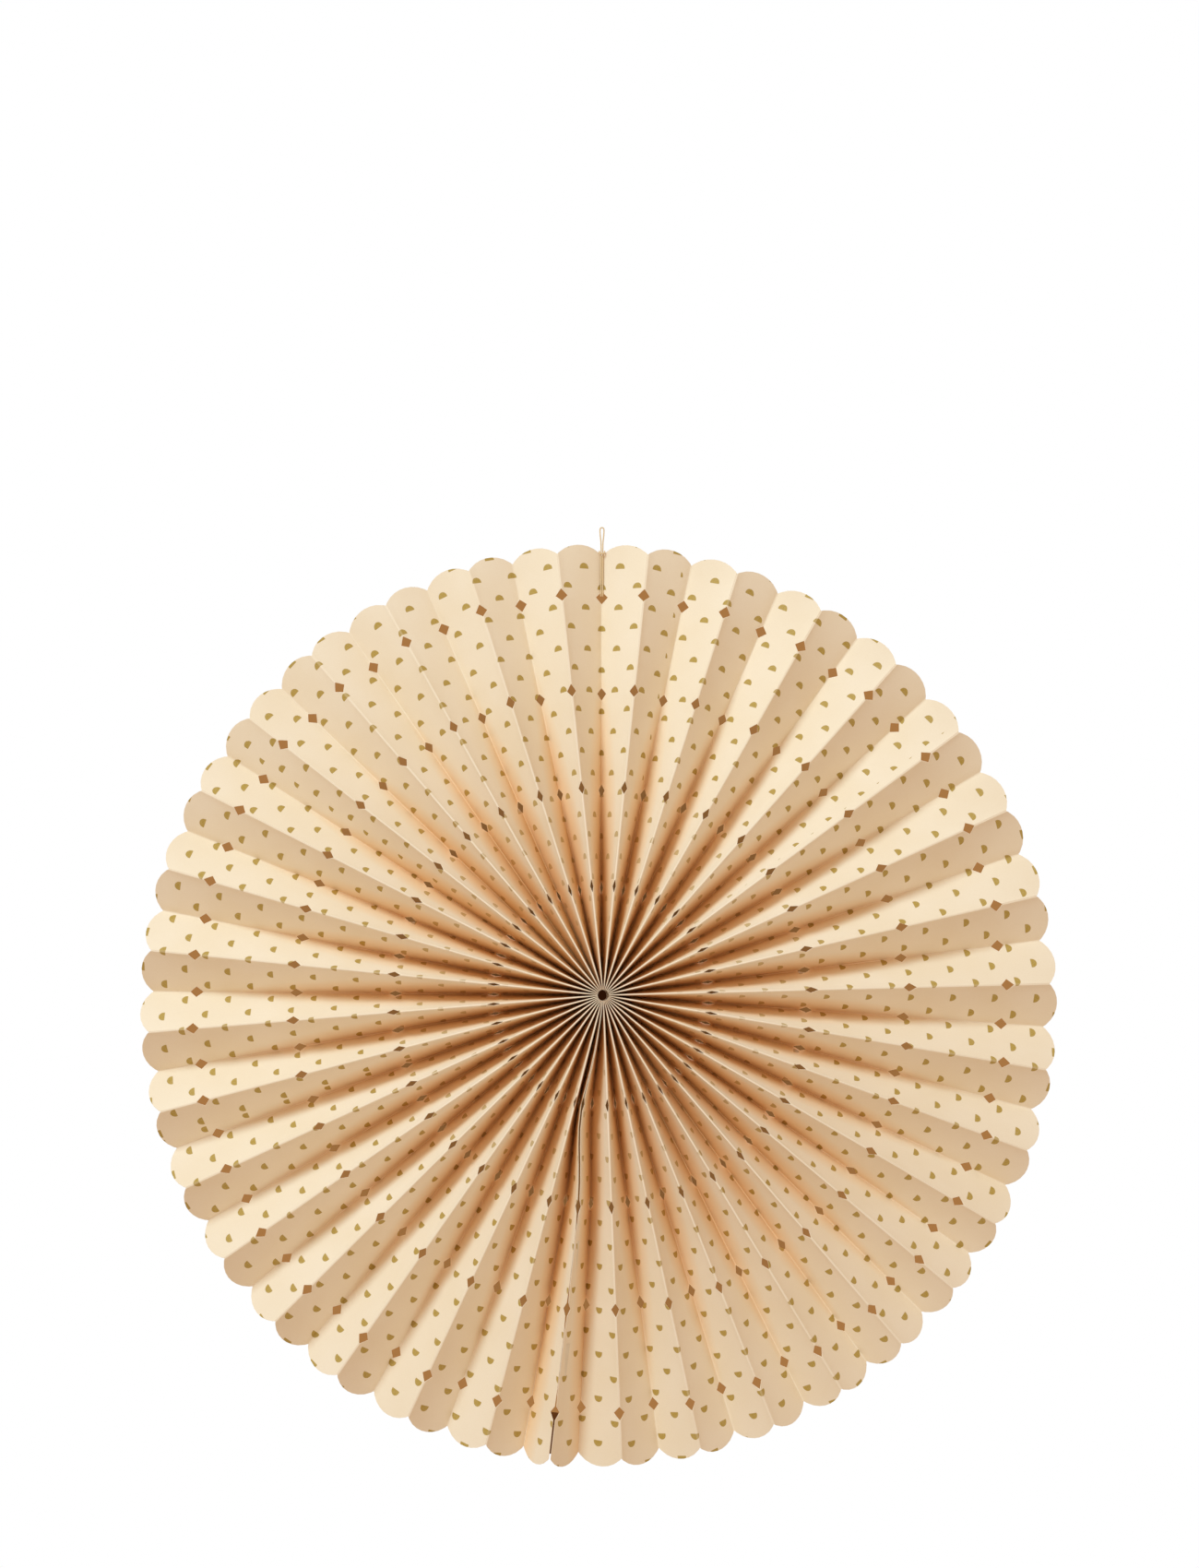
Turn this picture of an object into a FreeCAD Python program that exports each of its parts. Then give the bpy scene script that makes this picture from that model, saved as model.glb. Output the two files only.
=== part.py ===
"""Paper fan rosette, hung by a thread.

One long strip of paper is pleated like an accordion and bent round into a full disc, so
that its inner edge gathers at the hub and its two short ends meet in one ridge, the seam.
The folded stack was notched before it was opened: every fold carries a row of diamond
cut-outs, and every panel ends in a round scallop.

The frame: +Z up, the printed front looks along -Y, and the origin is the seat of the
hanging loop, where a hook bears. The hub lies hang_drop below it and hang_setback in front
of it. Angles run clockwise from the top as seen from the front. Millimetres and degrees.
"""

import FreeCAD, Part
import math
import os

SIZES = {
    # the pleated strip
    "ridge_count": 34,
    "paper_thickness": 0.2,
    "rim_radius": 243.8,
    "rim_depth": 9.7,
    "scallop_rise": 5.7,
    "scallop_segments": 5,
    "hub_packing": 1.386,
    "hub_spans": 3,
    # how unevenly the pleats are spread round the disc
    "spread": 5.9,
    "spread_lean": 7.9,
    "ripple": 1.12,
    "ripple_lean": 55.5,
    "flutter": 0.44,
    "flutter_lean": 214.9,
    # the seam, where the two ends of the strip meet
    "seam_ridge": 17,
    "seam_share": 0.68,
    "seam_slit": 0.1,
    "seam_lean": 0.5,
    "seam_sway": 4.2,
    "seam_sway_radius": 59,
    "seam_sway_reach": 30,
    # diamond cut-outs on the folds
    "cut_rows": 4,
    "cut_half": 3.5,
    "cut_depth": 4,
    "cut_first_radius": 59,
    "cut_last_inset": 23.4,
    # the thread that gathers the inner edge, and its holes
    "gather_inset": 2.5,
    "gather_diameter": 0.8,
    "gather_clearance": 0.2,
    "gather_spans": 24,
    # the adhesive tabs folded inside the seam
    "tab_thickness": 0.1,
    "tab_width": 8,
    "tab_clearance": 0.05,
    "tab_start": 0.32,
    "tab_end": 0.68,
    # the hanging thread
    "hang_drop": 259,
    "hang_setback": 3.5,
    "hang_diameter": 0.8,
    "knot_diameter": 2,
    "thread_sides": 5,
}

# Half of the hanging thread's route: from the bar that crosses the front at the rim, over
# the rim, down behind the top fold, through its cut-out and up the front to the crown of
# the loop. Distances right of the centre line, behind the hub's plane and above the hub.
# The other half is its mirror image, and the knot lies on that half, behind the fold.
HANG_ROUTE = [
    (1.15, 2.9, 244.6),
    (1.5, 3.5, 245.9),
    (1.5, 5.0, 246.4),
    (1.5, 6.0, 244.8),
    (1.4, 6.3, 242.0),
    (1.05, 6.9, 237.6),
    (0.75, 7.8, 230.0),
    (0.52, 8.0, 225.0),
    (0.48, 8.2, 221.5),
    (0.48, 6.35, 221.4),
    (0.5, 6.25, 224.8),
    (0.52, 5.6, 230.5),
    (0.47, 4.9, 238.0),
    (0.46, 4.0, 245.5),
    (0.5, 3.55, 251.0),
    (0.95, 3.45, 254.6),
    (1.15, 3.5, 257.4),
    (0.95, 3.5, 259.4),
]
KNOT_POINT = 6


def read_sizes(sheet):
    """The sheet's values by name, as an object with one attribute each."""

    class Values:
        pass

    values = Values()
    for name in SIZES:
        setattr(values, name, sheet.get(name))
    return values


class Pleats:
    """Where the folds and panels of the strip lie, on the paper's middle surface."""

    def __init__(self, size):
        self.size = size
        self.count = int(2 * size.ridge_count)
        self.seam = int(2 * size.seam_ridge + 1)
        self.step = 360.0 / (self.count - 2 + 2 * size.seam_share)
        self.half = size.paper_thickness / 2
        self.inner_radius = self.count * size.paper_thickness * size.hub_packing / (2 * math.pi)
        widest = max(self.pitch(fold) for fold in range(self.count))
        self.width = math.hypot(self.chord(widest, size.rim_radius), size.rim_depth)

    def is_ridge(self, fold):
        return fold % 2 == 1

    def even_angle(self, fold):
        """The fold's angle if all pleats were spread evenly, with the seam's panels tighter."""
        steps = fold
        if fold >= self.seam:
            steps = fold - 1 + self.size.seam_share
        if fold > self.seam:
            steps = fold - 2 + 2 * self.size.seam_share
        return self.step * steps

    def waves(self):
        """The spread of the pleats as waves round the disc: (how many, size, lean)."""
        size = self.size
        return [
            (1, size.spread, size.spread_lean),
            (2, size.ripple, size.ripple_lean),
            (3, size.flutter, size.flutter_lean),
        ]

    def rest_angle(self, fold):
        """The fold's angle at the rim: the pleats are wider at the top than at the bottom."""
        even = self.even_angle(fold)
        shifts = [
            height * (sine(turns * even - lean) + sine(lean)) for turns, height, lean in self.waves()
        ]
        return even + sum(shifts)

    def pitch(self, fold):
        """The angle from this fold to the next, smoothed over the seam."""
        even = self.even_angle(fold)
        stretches = [
            turns * math.radians(height) * cosine(turns * even - lean)
            for turns, height, lean in self.waves()
        ]
        return self.step * (1 + sum(stretches))

    def angle(self, fold, radius):
        """The fold's angle at this radius. The seam leans clockwise, most of all near the hub."""
        size = self.size
        nearness = max(0.0, 1 - abs(fold - self.seam) / 2)
        reach = (radius - size.seam_sway_radius) / size.seam_sway_reach
        sway = size.seam_lean + size.seam_sway * math.exp(-reach * reach)
        return self.rest_angle(fold) + nearness * sway

    def chord(self, pitch, radius):
        return 2 * radius * sine(pitch / 2)

    def depth(self, fold, radius):
        """How far the fold stands behind the disc's middle plane (ridges: in front of it)."""
        if fold % self.count == self.seam:
            valley = self.depth(fold - 1, radius)
            pitch = (self.rest_angle(fold + 1) - self.rest_angle(fold - 1)) / 2
            return valley - math.sqrt(self.width**2 - self.chord(pitch, radius) ** 2)
        chord = self.chord(self.pitch(fold % self.count), radius)
        rise = math.sqrt(self.width**2 - chord**2) / 2
        return -rise if self.is_ridge(fold) else rise

    def fold_point(self, fold, radius):
        angle = self.angle(fold % self.count, radius)
        return FreeCAD.Vector(radius * sine(angle), self.depth(fold, radius), radius * cosine(angle))

    def panel_ends(self, panel, radius):
        """The panel's left and right ends. At the seam they stop short of the ridge line."""
        left = self.fold_point(panel, radius)
        right = self.fold_point(panel + 1, radius)
        angle = self.angle(self.seam, radius)
        tangent = FreeCAD.Vector(cosine(angle), 0, -sine(angle))
        stop_short = tangent * (self.half + self.size.seam_slit / 2)
        if panel + 1 == self.seam:
            right -= stop_short
        if panel == self.seam:
            left += stop_short
        return left, right

    def across(self, panel, radius):
        """Unit vector over the panel, from its left end to its right one."""
        left, right = self.panel_ends(panel % self.count, radius)
        return (right - left).normalize()

    def normal(self, panel, radius):
        """Unit normal on the panel's printed side."""
        panel = panel % self.count
        middle = (self.angle(panel, radius) + self.panel_right_angle(panel, radius)) / 2
        outward = FreeCAD.Vector(sine(middle), 0, cosine(middle))
        return self.across(panel, radius).cross(outward).normalize()

    def panel_right_angle(self, panel, radius):
        if panel + 1 == self.count:
            return 360.0 + self.angle(0, radius)
        return self.angle(panel + 1, radius)

    def fold_corners(self, fold, radius):
        """The fold's section: two corners on its outer side and the mitre on its inner side."""
        outer = 1 if self.is_ridge(fold) else -1
        angle = self.angle(fold % self.count, radius)
        outward = FreeCAD.Vector(sine(angle), 0, cosine(angle))
        normals = [in_section(self.normal(panel, radius), outward) for panel in (fold - 1, fold)]
        runs = [in_section(self.across(panel, radius), outward) for panel in (fold - 1, fold)]
        crown = (normals[0] + normals[1]).normalize() * outer
        point = self.fold_point(fold, radius)
        slope = crown.dot(normals[0] * outer)
        shift = self.half * (1 - slope) / math.sqrt(1 - slope * slope)
        left = point + normals[0] * (outer * self.half) + runs[0] * shift
        right = point + normals[1] * (outer * self.half) - runs[1] * shift
        return left, right, point - crown * (self.half / slope)


def in_section(direction, outward):
    """The direction turned square to the outward one, as a unit vector."""
    return (direction - outward * direction.dot(outward)).normalize()


def sine(degrees):
    return math.sin(math.radians(degrees))


def cosine(degrees):
    return math.cos(math.radians(degrees))


class Facets:
    """Triangles of a closed solid. A pair holds the sheet's corner in front and behind."""

    def __init__(self):
        self.points = []
        self.numbers = {}
        self.triangles = []

    def number(self, point):
        key = (round(point.x, 7), round(point.y, 7), round(point.z, 7))
        if key not in self.numbers:
            self.numbers[key] = len(self.points)
            self.points.append(point)
        return self.numbers[key]

    def triangle(self, first, second, third):
        corners = (self.number(first), self.number(second), self.number(third))
        if len(set(corners)) == 3:
            self.triangles.append(corners)

    def quad(self, first, second, third, fourth):
        self.triangle(first, second, third)
        self.triangle(first, third, fourth)

    def band(self, lower, upper):
        """Both faces of the sheet between two rows of pairs that run left to right."""
        i = 0
        j = 0
        while i + j < len(lower) + len(upper) - 2:
            low_next = (i + 0.5) / (len(lower) - 1)
            up_next = (j + 0.5) / (len(upper) - 1)
            if low_next <= up_next:
                pairs = (lower[i], lower[i + 1], upper[j])
                i += 1
            else:
                pairs = (lower[i], upper[j + 1], upper[j])
                j += 1
            self.triangle(*[pair[0] for pair in pairs])
            self.triangle(*[pair[1] for pair in reversed(pairs)])

    def wall(self, start, end):
        """The sheet's cut edge from one pair to the next, with the paper on its left."""
        self.quad(start[0], start[1], end[1], end[0])

    def solid(self):
        shape = Part.Shape()
        shape.makeShapeFromMesh((self.points, self.triangles), 0.001)
        return Part.Solid(Part.Shell(shape.Faces))


def cut_radii(size):
    """Middle radius of each row of cut-outs."""
    last = size.rim_radius - size.cut_last_inset
    rows = int(size.cut_rows)
    step = (last - size.cut_first_radius) / max(1, rows - 1)
    return [size.cut_first_radius + step * row for row in range(rows)]


def sheet_rows(pleats):
    """Rows of corners from the hub to the last cut-out: (radius, what the row is)."""
    size = pleats.size
    gather = pleats.inner_radius + size.gather_inset
    hole = hole_half(size)
    cuts = cut_radii(size)
    rows = [(pleats.inner_radius, "fold"), (gather - hole, "hole"), (gather + hole, "hole")]
    spans = int(size.hub_spans)
    growth = ((cuts[0] - size.cut_half) / (gather + hole)) ** (1 / spans)
    rows += [((gather + hole) * growth**span, "fold") for span in range(1, spans)]
    for radius in cuts:
        rows += [
            (radius - size.cut_half, "cut start"),
            (radius, "cut tip"),
            (radius + size.cut_half, "cut end"),
        ]
    return rows + [(size.rim_radius, "rim")]


def hole_half(size):
    return size.gather_diameter / 2 + size.gather_clearance


def pair_at(point, normal, half):
    return point + normal * half, point - normal * half


def end_pair(pleats, panel, radius, kind, side):
    """The pair of corners at the panel's left (side 0) or right (side 1) end of a row."""
    ends = pleats.panel_ends(panel, radius)
    inward = pleats.across(panel, radius) * (1 if side == 0 else -1)
    fold = panel + side
    if kind == "cut tip":
        tip = ends[side] + inward * pleats.size.cut_depth
        return pair_at(tip, pleats.normal(panel, radius), pleats.half)
    if fold == pleats.seam:
        return pair_at(ends[side], pleats.normal(panel, radius), pleats.half)
    left, right, mitre = pleats.fold_corners(fold, radius)
    outer = right if side == 0 else left
    return (outer, mitre) if pleats.is_ridge(fold) else (mitre, outer)


def hole_pairs(pleats, panel, radius):
    """The two pairs of corners where a row runs past the gathering thread's hole."""
    left, right = pleats.panel_ends(panel, radius)
    across = pleats.across(panel, radius) * hole_half(pleats.size)
    middle = (left + right) * 0.5
    normal = pleats.normal(panel, radius)
    return [
        pair_at(middle - across, normal, pleats.half),
        pair_at(middle + across, normal, pleats.half),
    ]


def scallop_pairs(pleats, panel, ends):
    """The scallop's round edge, from the panel's left rim corner to its right one."""
    size = pleats.size
    segments = int(size.scallop_segments)
    radius = size.rim_radius
    normal = pleats.normal(panel, radius)
    before = pleats.panel_ends(panel, radius - 1)
    left, right = pleats.panel_ends(panel, radius)
    half_chord = pleats.width / 2
    arc_radius = (half_chord**2 + size.scallop_rise**2) / (2 * size.scallop_rise)
    half_turn = math.asin(half_chord / arc_radius)
    pairs = [ends[0]]
    for segment in range(1, segments):
        turn = half_turn * (2 * segment / segments - 1)
        share = 0.5 + arc_radius * math.sin(turn) / pleats.width
        rise = arc_radius * (math.cos(turn) - math.cos(half_turn))
        base = left * (1 - share) + right * share
        outward = (left - before[0]) * (1 - share) + (right - before[1]) * share
        pairs.append(pair_at(base + outward * rise, normal, pleats.half))
    return pairs + [ends[1]]


def add_panel(facets, pleats, panel, rows):
    """Both faces of one panel, its cut edges, its thread hole and its scallop."""
    ends = []
    for radius, kind in rows:
        ends.append([end_pair(pleats, panel, radius, kind, side) for side in (0, 1)])
    facets.wall(ends[0][0], ends[0][1])
    for row in range(len(rows) - 1):
        lower, upper = list(ends[row]), list(ends[row + 1])
        kinds = (rows[row][1], rows[row + 1][1])
        if kinds[0] == "hole":
            lower[1:1] = hole_pairs(pleats, panel, rows[row][0])
        if kinds[1] == "hole":
            upper[1:1] = hole_pairs(pleats, panel, rows[row + 1][0])
        if kinds[1] == "rim":
            upper = scallop_pairs(pleats, panel, upper)
        if kinds == ("hole", "hole"):
            add_hole(facets, lower, upper)
        else:
            facets.band(lower, upper)
        cut = "cut tip" in kinds
        if cut or panel == pleats.seam:
            facets.wall(ends[row + 1][0], ends[row][0])
        if cut or panel + 1 == pleats.seam:
            facets.wall(ends[row][1], ends[row + 1][1])
        if kinds[1] == "rim":
            for start, end in zip(upper[1:], upper):
                facets.wall(start, end)


def add_hole(facets, lower, upper):
    """The strips beside the thread's hole, and its four walls."""
    facets.band(lower[:2], upper[:2])
    facets.band(lower[2:], upper[2:])
    facets.wall(lower[1], upper[1])
    facets.wall(upper[1], upper[2])
    facets.wall(upper[2], lower[2])
    facets.wall(lower[2], lower[1])


def add_fold(facets, pleats, fold, rows):
    """The outer nose of one fold between the cut-outs, with its end faces."""
    ridge = pleats.is_ridge(fold)
    corners = [pleats.fold_corners(fold, radius) for radius, kind in rows]
    for row in range(len(rows) - 1):
        kinds = (rows[row][1], rows[row + 1][1])
        if "cut tip" in kinds:
            continue
        left, right, mitre = corners[row]
        next_left, next_right, next_mitre = corners[row + 1]
        if not ridge:
            left, right = right, left
            next_left, next_right = next_right, next_left
        facets.quad(left, right, next_right, next_left)
        if row == 0 or kinds[0] == "cut end":
            facets.triangle(left, mitre, right)
        if kinds[1] in ("cut start", "rim"):
            facets.triangle(next_left, next_right, next_mitre)


def pleated_strip(pleats):
    """The whole strip as one solid."""
    rows = sheet_rows(pleats)
    facets = Facets()
    for panel in range(pleats.count):
        add_panel(facets, pleats, panel, rows)
    for fold in range(pleats.count):
        if fold != pleats.seam:
            add_fold(facets, pleats, fold, rows)
    print("pleated strip:", len(facets.triangles), "triangles")
    return facets.solid()


def tab_leaf(pleats, panel, low, high):
    """One leaf of a seam tab: its ridge and outer edge on the panel's back, low and high.

    The stretch of panel between two rows of cut-outs is two flat triangles. The leaf lies
    on the one that runs along the seam, so it is flat too.
    """
    size = pleats.size
    left_side = panel + 1 == pleats.seam
    low_ends = pleats.panel_ends(panel, low)
    high_ends = pleats.panel_ends(panel, high)
    ridge = 1 if left_side else 0
    along = high_ends[ridge] - low_ends[ridge]
    across = high_ends[0] - high_ends[1] if left_side else low_ends[1] - low_ends[0]
    across.normalize()
    back = along.cross(across).normalize()
    if back.y < 0:
        back = back * -1
    starts = [low_ends[ridge] + along * share for share in (size.tab_start, size.tab_end)]
    return starts, across, back


def seam_tab(pleats, low, high):
    """A strip folded lengthwise inside the seam and stuck to the backs of both end panels."""
    size = pleats.size
    leaves = [tab_leaf(pleats, panel, low, high) for panel in (pleats.seam - 1, pleats.seam)]
    near = pleats.half + size.tab_clearance
    far = near + size.tab_thickness
    rows = []
    for row in (0, 1):
        starts = [leaf[0][row] for leaf in leaves]
        middle = (starts[0] + starts[1]) * 0.5
        crown = (leaves[0][2] + leaves[1][2]).normalize()
        slope = crown.dot(leaves[0][2])
        gap = (starts[1] - starts[0]).Length / 2
        open_way = gap * slope / math.sqrt(1 - slope * slope)
        fold = [middle + crown * (distance / slope - open_way) for distance in (near, far)]
        row_pairs = []
        for start, across, back in leaves:
            edge = start[row] + across * size.tab_width
            row_pairs.append((edge + back * near, edge + back * far))
        rows.append([row_pairs[0], tuple(fold), row_pairs[1]])
    facets = Facets()
    facets.band(rows[0], rows[1])
    facets.wall(rows[0][0], rows[0][1])
    facets.wall(rows[0][1], rows[0][2])
    facets.wall(rows[0][2], rows[1][2])
    facets.wall(rows[1][2], rows[1][1])
    facets.wall(rows[1][1], rows[1][0])
    facets.wall(rows[1][0], rows[0][0])
    return facets.solid()


def hang_points():
    """The whole loop as points about the hub, from the knot round and back to the knot."""
    right = [FreeCAD.Vector(*point) for point in HANG_ROUTE]
    left = [FreeCAD.Vector(-x, y, z) for x, y, z in reversed(HANG_ROUTE)]
    knot = len(right) + len(left) - 1 - KNOT_POINT
    loop = right + left
    return loop[knot:] + loop[: knot + 1]


def cord_path(points, diameter):
    """Straight runs joined by tangent arcs, each as large as its two runs allow."""
    edges = []
    start = points[0]
    tightest = None
    for before, corner, after in zip(points, points[1:], points[2:]):
        into = corner - before
        out = after - corner
        cut = 0.45 * min(into.Length, out.Length)
        into.normalize()
        out.normalize()
        half_turn = into.getAngle(out) / 2
        radius = cut / math.tan(half_turn)
        tightest = radius if tightest is None else min(tightest, radius)
        inside = (out - into).normalize() * (radius / math.cos(half_turn) - radius)
        arc_start = corner - into * cut
        arc_end = corner + out * cut
        edges.append(Part.LineSegment(start, arc_start).toShape())
        edges.append(Part.Arc(arc_start, corner + inside, arc_end).toShape())
        start = arc_end
    edges.append(Part.LineSegment(start, points[-1]).toShape())
    print("hanging thread: tightest radius %.2f of diameter %.2f" % (tightest, diameter))
    return Part.Wire(edges)


def many_sided(centre, direction, diameter, sides):
    """An outline of that many sides round the centre, square to the direction."""
    turn = FreeCAD.Rotation(FreeCAD.Vector(0, 0, 1), direction)
    corners = []
    for corner in range(sides):
        angle = 360 * corner / sides
        reach = FreeCAD.Vector(cosine(angle), sine(angle), 0) * (diameter / 2)
        corners.append(centre + turn.multVec(reach))
    return Part.makePolygon(corners + corners[:1])


def thread_knot(place, direction, diameter):
    """The knot as a small six-sided barrel, along the thread."""
    along = FreeCAD.Vector(direction).normalize() * (diameter / 2)
    outlines = [
        many_sided(place + along * reach, direction, diameter * width, 6)
        for reach, width in ((-1, 0.5), (-0.5, 1), (0.5, 1), (1, 0.5))
    ]
    return Part.makeLoft(outlines, True, True)


def hanging_thread(size):
    """The loop of thread, many-sided in section, with the knot that closes it."""
    points = hang_points()
    path = cord_path(points, size.hang_diameter)
    start = points[1] - points[0]
    section = many_sided(points[0], start, size.hang_diameter, int(size.thread_sides))
    tube = path.makePipeShell([section], True, False)
    knot = thread_knot(points[0], start, size.knot_diameter)
    loop = tube.fuse(knot)
    drawn = Part.Face(section).Area * path.Length
    outside_knot = loop.Volume - knot.Volume
    print("hanging thread: volume outside its knot %.1f" % outside_knot)
    print("hanging thread: section x length %.1f" % drawn)
    return loop


def add_sheet(doc):
    sheet = doc.addObject("Spreadsheet::Sheet", "sizes")
    for row, (name, value) in enumerate(SIZES.items(), start=1):
        sheet.set("A%d" % row, name)
        sheet.set("B%d" % row, str(value))
        sheet.setAlias("B%d" % row, name)
    doc.recompute()
    return sheet


def add_feature(doc, name, shape, size):
    """A sub-part that is modelled about the hub, placed from the hanging loop's seat."""
    feature = doc.addObject("Part::Feature", name)
    feature.Label = name
    feature.Shape = shape
    hub = FreeCAD.Vector(0, -size.hang_setback, -size.hang_drop)
    feature.Placement = FreeCAD.Placement(hub, FreeCAD.Rotation())
    return feature


def add_gathering_thread(doc):
    """The ring of thread that runs through the hole in every panel, in short spans."""
    spine = doc.addObject("Part::RegularPolygon", "gathering_line")
    spine.Label = "gathering_line"
    spine.setExpression("Polygon", "sizes.gather_spans")
    hub_radius = "sizes.ridge_count * sizes.paper_thickness * sizes.hub_packing / pi"
    ring_radius = "(%s + sizes.gather_inset)" % hub_radius
    spine.setExpression("Circumradius", ring_radius)
    section = doc.addObject("Part::RegularPolygon", "gathering_section")
    section.Label = "gathering_section"
    section.setExpression("Polygon", "sizes.thread_sides")
    section.setExpression("Circumradius", "sizes.gather_diameter / 2")
    section.Placement.Rotation = FreeCAD.Rotation(FreeCAD.Vector(1, 0, 0), 90)
    section.setExpression("Placement.Base.x", ring_radius)
    doc.recompute()
    ring = doc.addObject("Part::Sweep", "gathering_thread")
    ring.Label = "gathering_thread"
    ring.Sections = [section]
    ring.Spine = (spine, ["Edge%d" % (edge + 1) for edge in range(len(spine.Shape.Edges))])
    ring.Solid = True
    ring.Frenet = False
    ring.Transition = "Right corner"
    ring.Placement.Rotation = FreeCAD.Rotation(FreeCAD.Vector(1, 0, 0), 90)
    ring.setExpression("Placement.Base.y", "-sizes.hang_setback")
    ring.setExpression("Placement.Base.z", "-sizes.hang_drop")
    return ring


def check(objects):
    for item in objects:
        bad = [state for state in item.State if state in ("Invalid", "Error")]
        if bad:
            raise RuntimeError("%s did not build: %s" % (item.Label, bad))


def main():
    doc = FreeCAD.newDocument("paper_fan")
    sheet = add_sheet(doc)
    size = read_sizes(sheet)
    pleats = Pleats(size)
    print("panel width %.2f, inner radius %.2f" % (pleats.width, pleats.inner_radius))
    parts = [add_feature(doc, "pleated_paper", pleated_strip(pleats), size)]
    cuts = cut_radii(size)
    for name, row in (("seam_tab_inner", 1), ("seam_tab_outer", 2)):
        low = cuts[row] + size.cut_half
        high = cuts[row + 1] - size.cut_half
        parts.append(add_feature(doc, name, seam_tab(pleats, low, high), size))
    parts.append(add_gathering_thread(doc))
    parts.append(add_feature(doc, "hanging_thread", hanging_thread(size), size))
    doc.recompute()
    check(doc.Objects)
    os.makedirs("parts", exist_ok=True)
    for item in parts:
        shape = item.Shape
        if shape.isNull() or not shape.isValid():
            raise RuntimeError("%s has no valid shape" % item.Label)
        print("%s: volume %.2f mm3" % (item.Label, shape.Volume))
        shape.exportStep("parts/%s.step" % item.Label)


main()
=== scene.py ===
"""Paper fan rosette: finish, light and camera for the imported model.

The pleated sheet is rebuilt here in full smoothness: the same fold lines, cut-outs,
scallops and seam as the solid it stands for, with the slight unevenness of hand-folded
paper. Metres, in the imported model's frame: +Z up, the printed front looks along -Y, and
the origin is the seat of the hanging loop. Angles run clockwise from the top in degrees.
"""

import math

import bmesh
import bpy
import numpy as np
from mathutils import Matrix, Vector


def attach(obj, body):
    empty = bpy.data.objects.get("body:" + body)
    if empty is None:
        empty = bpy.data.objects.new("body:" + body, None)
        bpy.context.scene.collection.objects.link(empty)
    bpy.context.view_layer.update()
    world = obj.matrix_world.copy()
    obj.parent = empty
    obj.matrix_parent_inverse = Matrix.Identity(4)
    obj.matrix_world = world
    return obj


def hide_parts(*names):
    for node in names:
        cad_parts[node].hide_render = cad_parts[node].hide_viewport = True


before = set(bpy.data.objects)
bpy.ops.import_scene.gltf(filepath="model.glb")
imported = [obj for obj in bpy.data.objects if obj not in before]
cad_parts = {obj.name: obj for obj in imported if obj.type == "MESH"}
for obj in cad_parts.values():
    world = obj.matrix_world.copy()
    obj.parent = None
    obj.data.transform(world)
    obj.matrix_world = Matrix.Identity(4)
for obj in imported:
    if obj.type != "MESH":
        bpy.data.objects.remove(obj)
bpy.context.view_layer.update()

MM = 0.001

# The hub, measured from the hanging loop's seat
HUB = Vector((0, -3.5 * MM, -259 * MM))

# The pleated strip, in millimetres as on the drawing of the solid. Its folds are numbered
# from 0, the valley at the top. The seam is the last ridge clockwise, and the strip's middle
# fold lies opposite.
PANELS = 68
SEAM = 35
MIDDLE_FOLD = SEAM - PANELS / 2
PAPER = 0.2
RIM_RADIUS = 243.8
RIM_DEPTH = 9.7
SCALLOP_RISE = 5.7
INNER_RADIUS = 3.0
# Waves of the pleats' spread round the disc: how many, height and lean in degrees
WAVES = [(1, 5.9, 7.9), (2, 1.12, 55.5), (3, 0.44, 214.9)]
SEAM_SHARE = 0.68
# How wide the seam gapes, by radius. The two tabs inside hold it shut.
SEAM_SLIT = [
    (3, 0.1),
    (40, 0.15),
    (54, 0.4),
    (62, 0.9),
    (118, 0.9),
    (126, 0.1),
    (153, 0.1),
    (160, 0.8),
    (173, 0.8),
    (180, 0.1),
    (207, 0.1),
    (219, 0.9),
    (250, 0.7),
]
SLIT_REACH = SEAM_SLIT[-1][0]
# How far the seam leans in degrees, and how it sways sideways near the first cut-outs
SEAM_LEAN = 0.5
SEAM_SWAY = 4.2
SEAM_SWAY_RADIUS = 59.0
SEAM_SWAY_REACH = 30.0
CUT_RADII = [59.0 + 53.8 * row for row in range(4)]
CUT_HALF = 3.5
CUT_DEPTH = 4.0
GATHER_RADIUS = INNER_RADIUS + 2.5
GATHER_HOLE = 0.6
FOLD_STEP = 360 / (PANELS - 2 + 2 * SEAM_SHARE)

# How finely one panel is divided: columns close to each fold, then even ones up to the
# middle, which make room for the thread hole near the hub
CREASE_COLUMNS = (0.0, 0.22, 0.6, 1.3)
EVEN_COLUMNS = 3
HUB_SPANS = 7
STRETCH_SPANS = 5
RIM_SPANS = 5
HOLE_COLUMN_REACH = 50.0
MIDDLE_COLUMN = 3.4
# Points nearer than these, in millimetres, are welded: along the strip, then round its edges
STRIP_WELD = 0.002
EDGE_WELD = 0.001

# How far hand-folded panels bow, over what length that changes and how much from one panel
# to the next, how far the paper swells out beside a crease, how near to it and from what
# radius on in full, and what angle counts as a crease
BOW = 0.5
BOW_LENGTH = 70.0
BOW_CHANGE = 0.83
CREASE_SWELL = 0.3
CREASE_REACH = 0.42
CREASE_GROWTH = 14.0
SHARP_FOLD = 16
# The share of the room inside a fold that the paper fills, so that its sides don't touch
ROOM_FILLED = 0.96

# The printed half dots, in millimetres on the flat strip. Each set starts at a share of the
# panel's width from the top fold and at a height from the hub. The pitch along the strip is a
# share of that width too.
DOT_SETS = [(0.51, 236.6), (0.096, 225.2)]
DOT_PITCH = 0.8275
DOT_ROW_PITCH = 23.1
DOT_RADIUS = 2.75
DOT_FLAT_SIDE = -0.45
DOT_SOFTNESS = 0.12
DOT_RAGGED = 0.12
# The strip was joined from printed sheets: from these panels on, left to right, the pattern
# is shifted by these shares of a panel's width
PRINT_SHIFTS = [(-19.7, 0.23), (-9.6, -0.33), (1.8, -0.31), (8.8, 0.34)]
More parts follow.
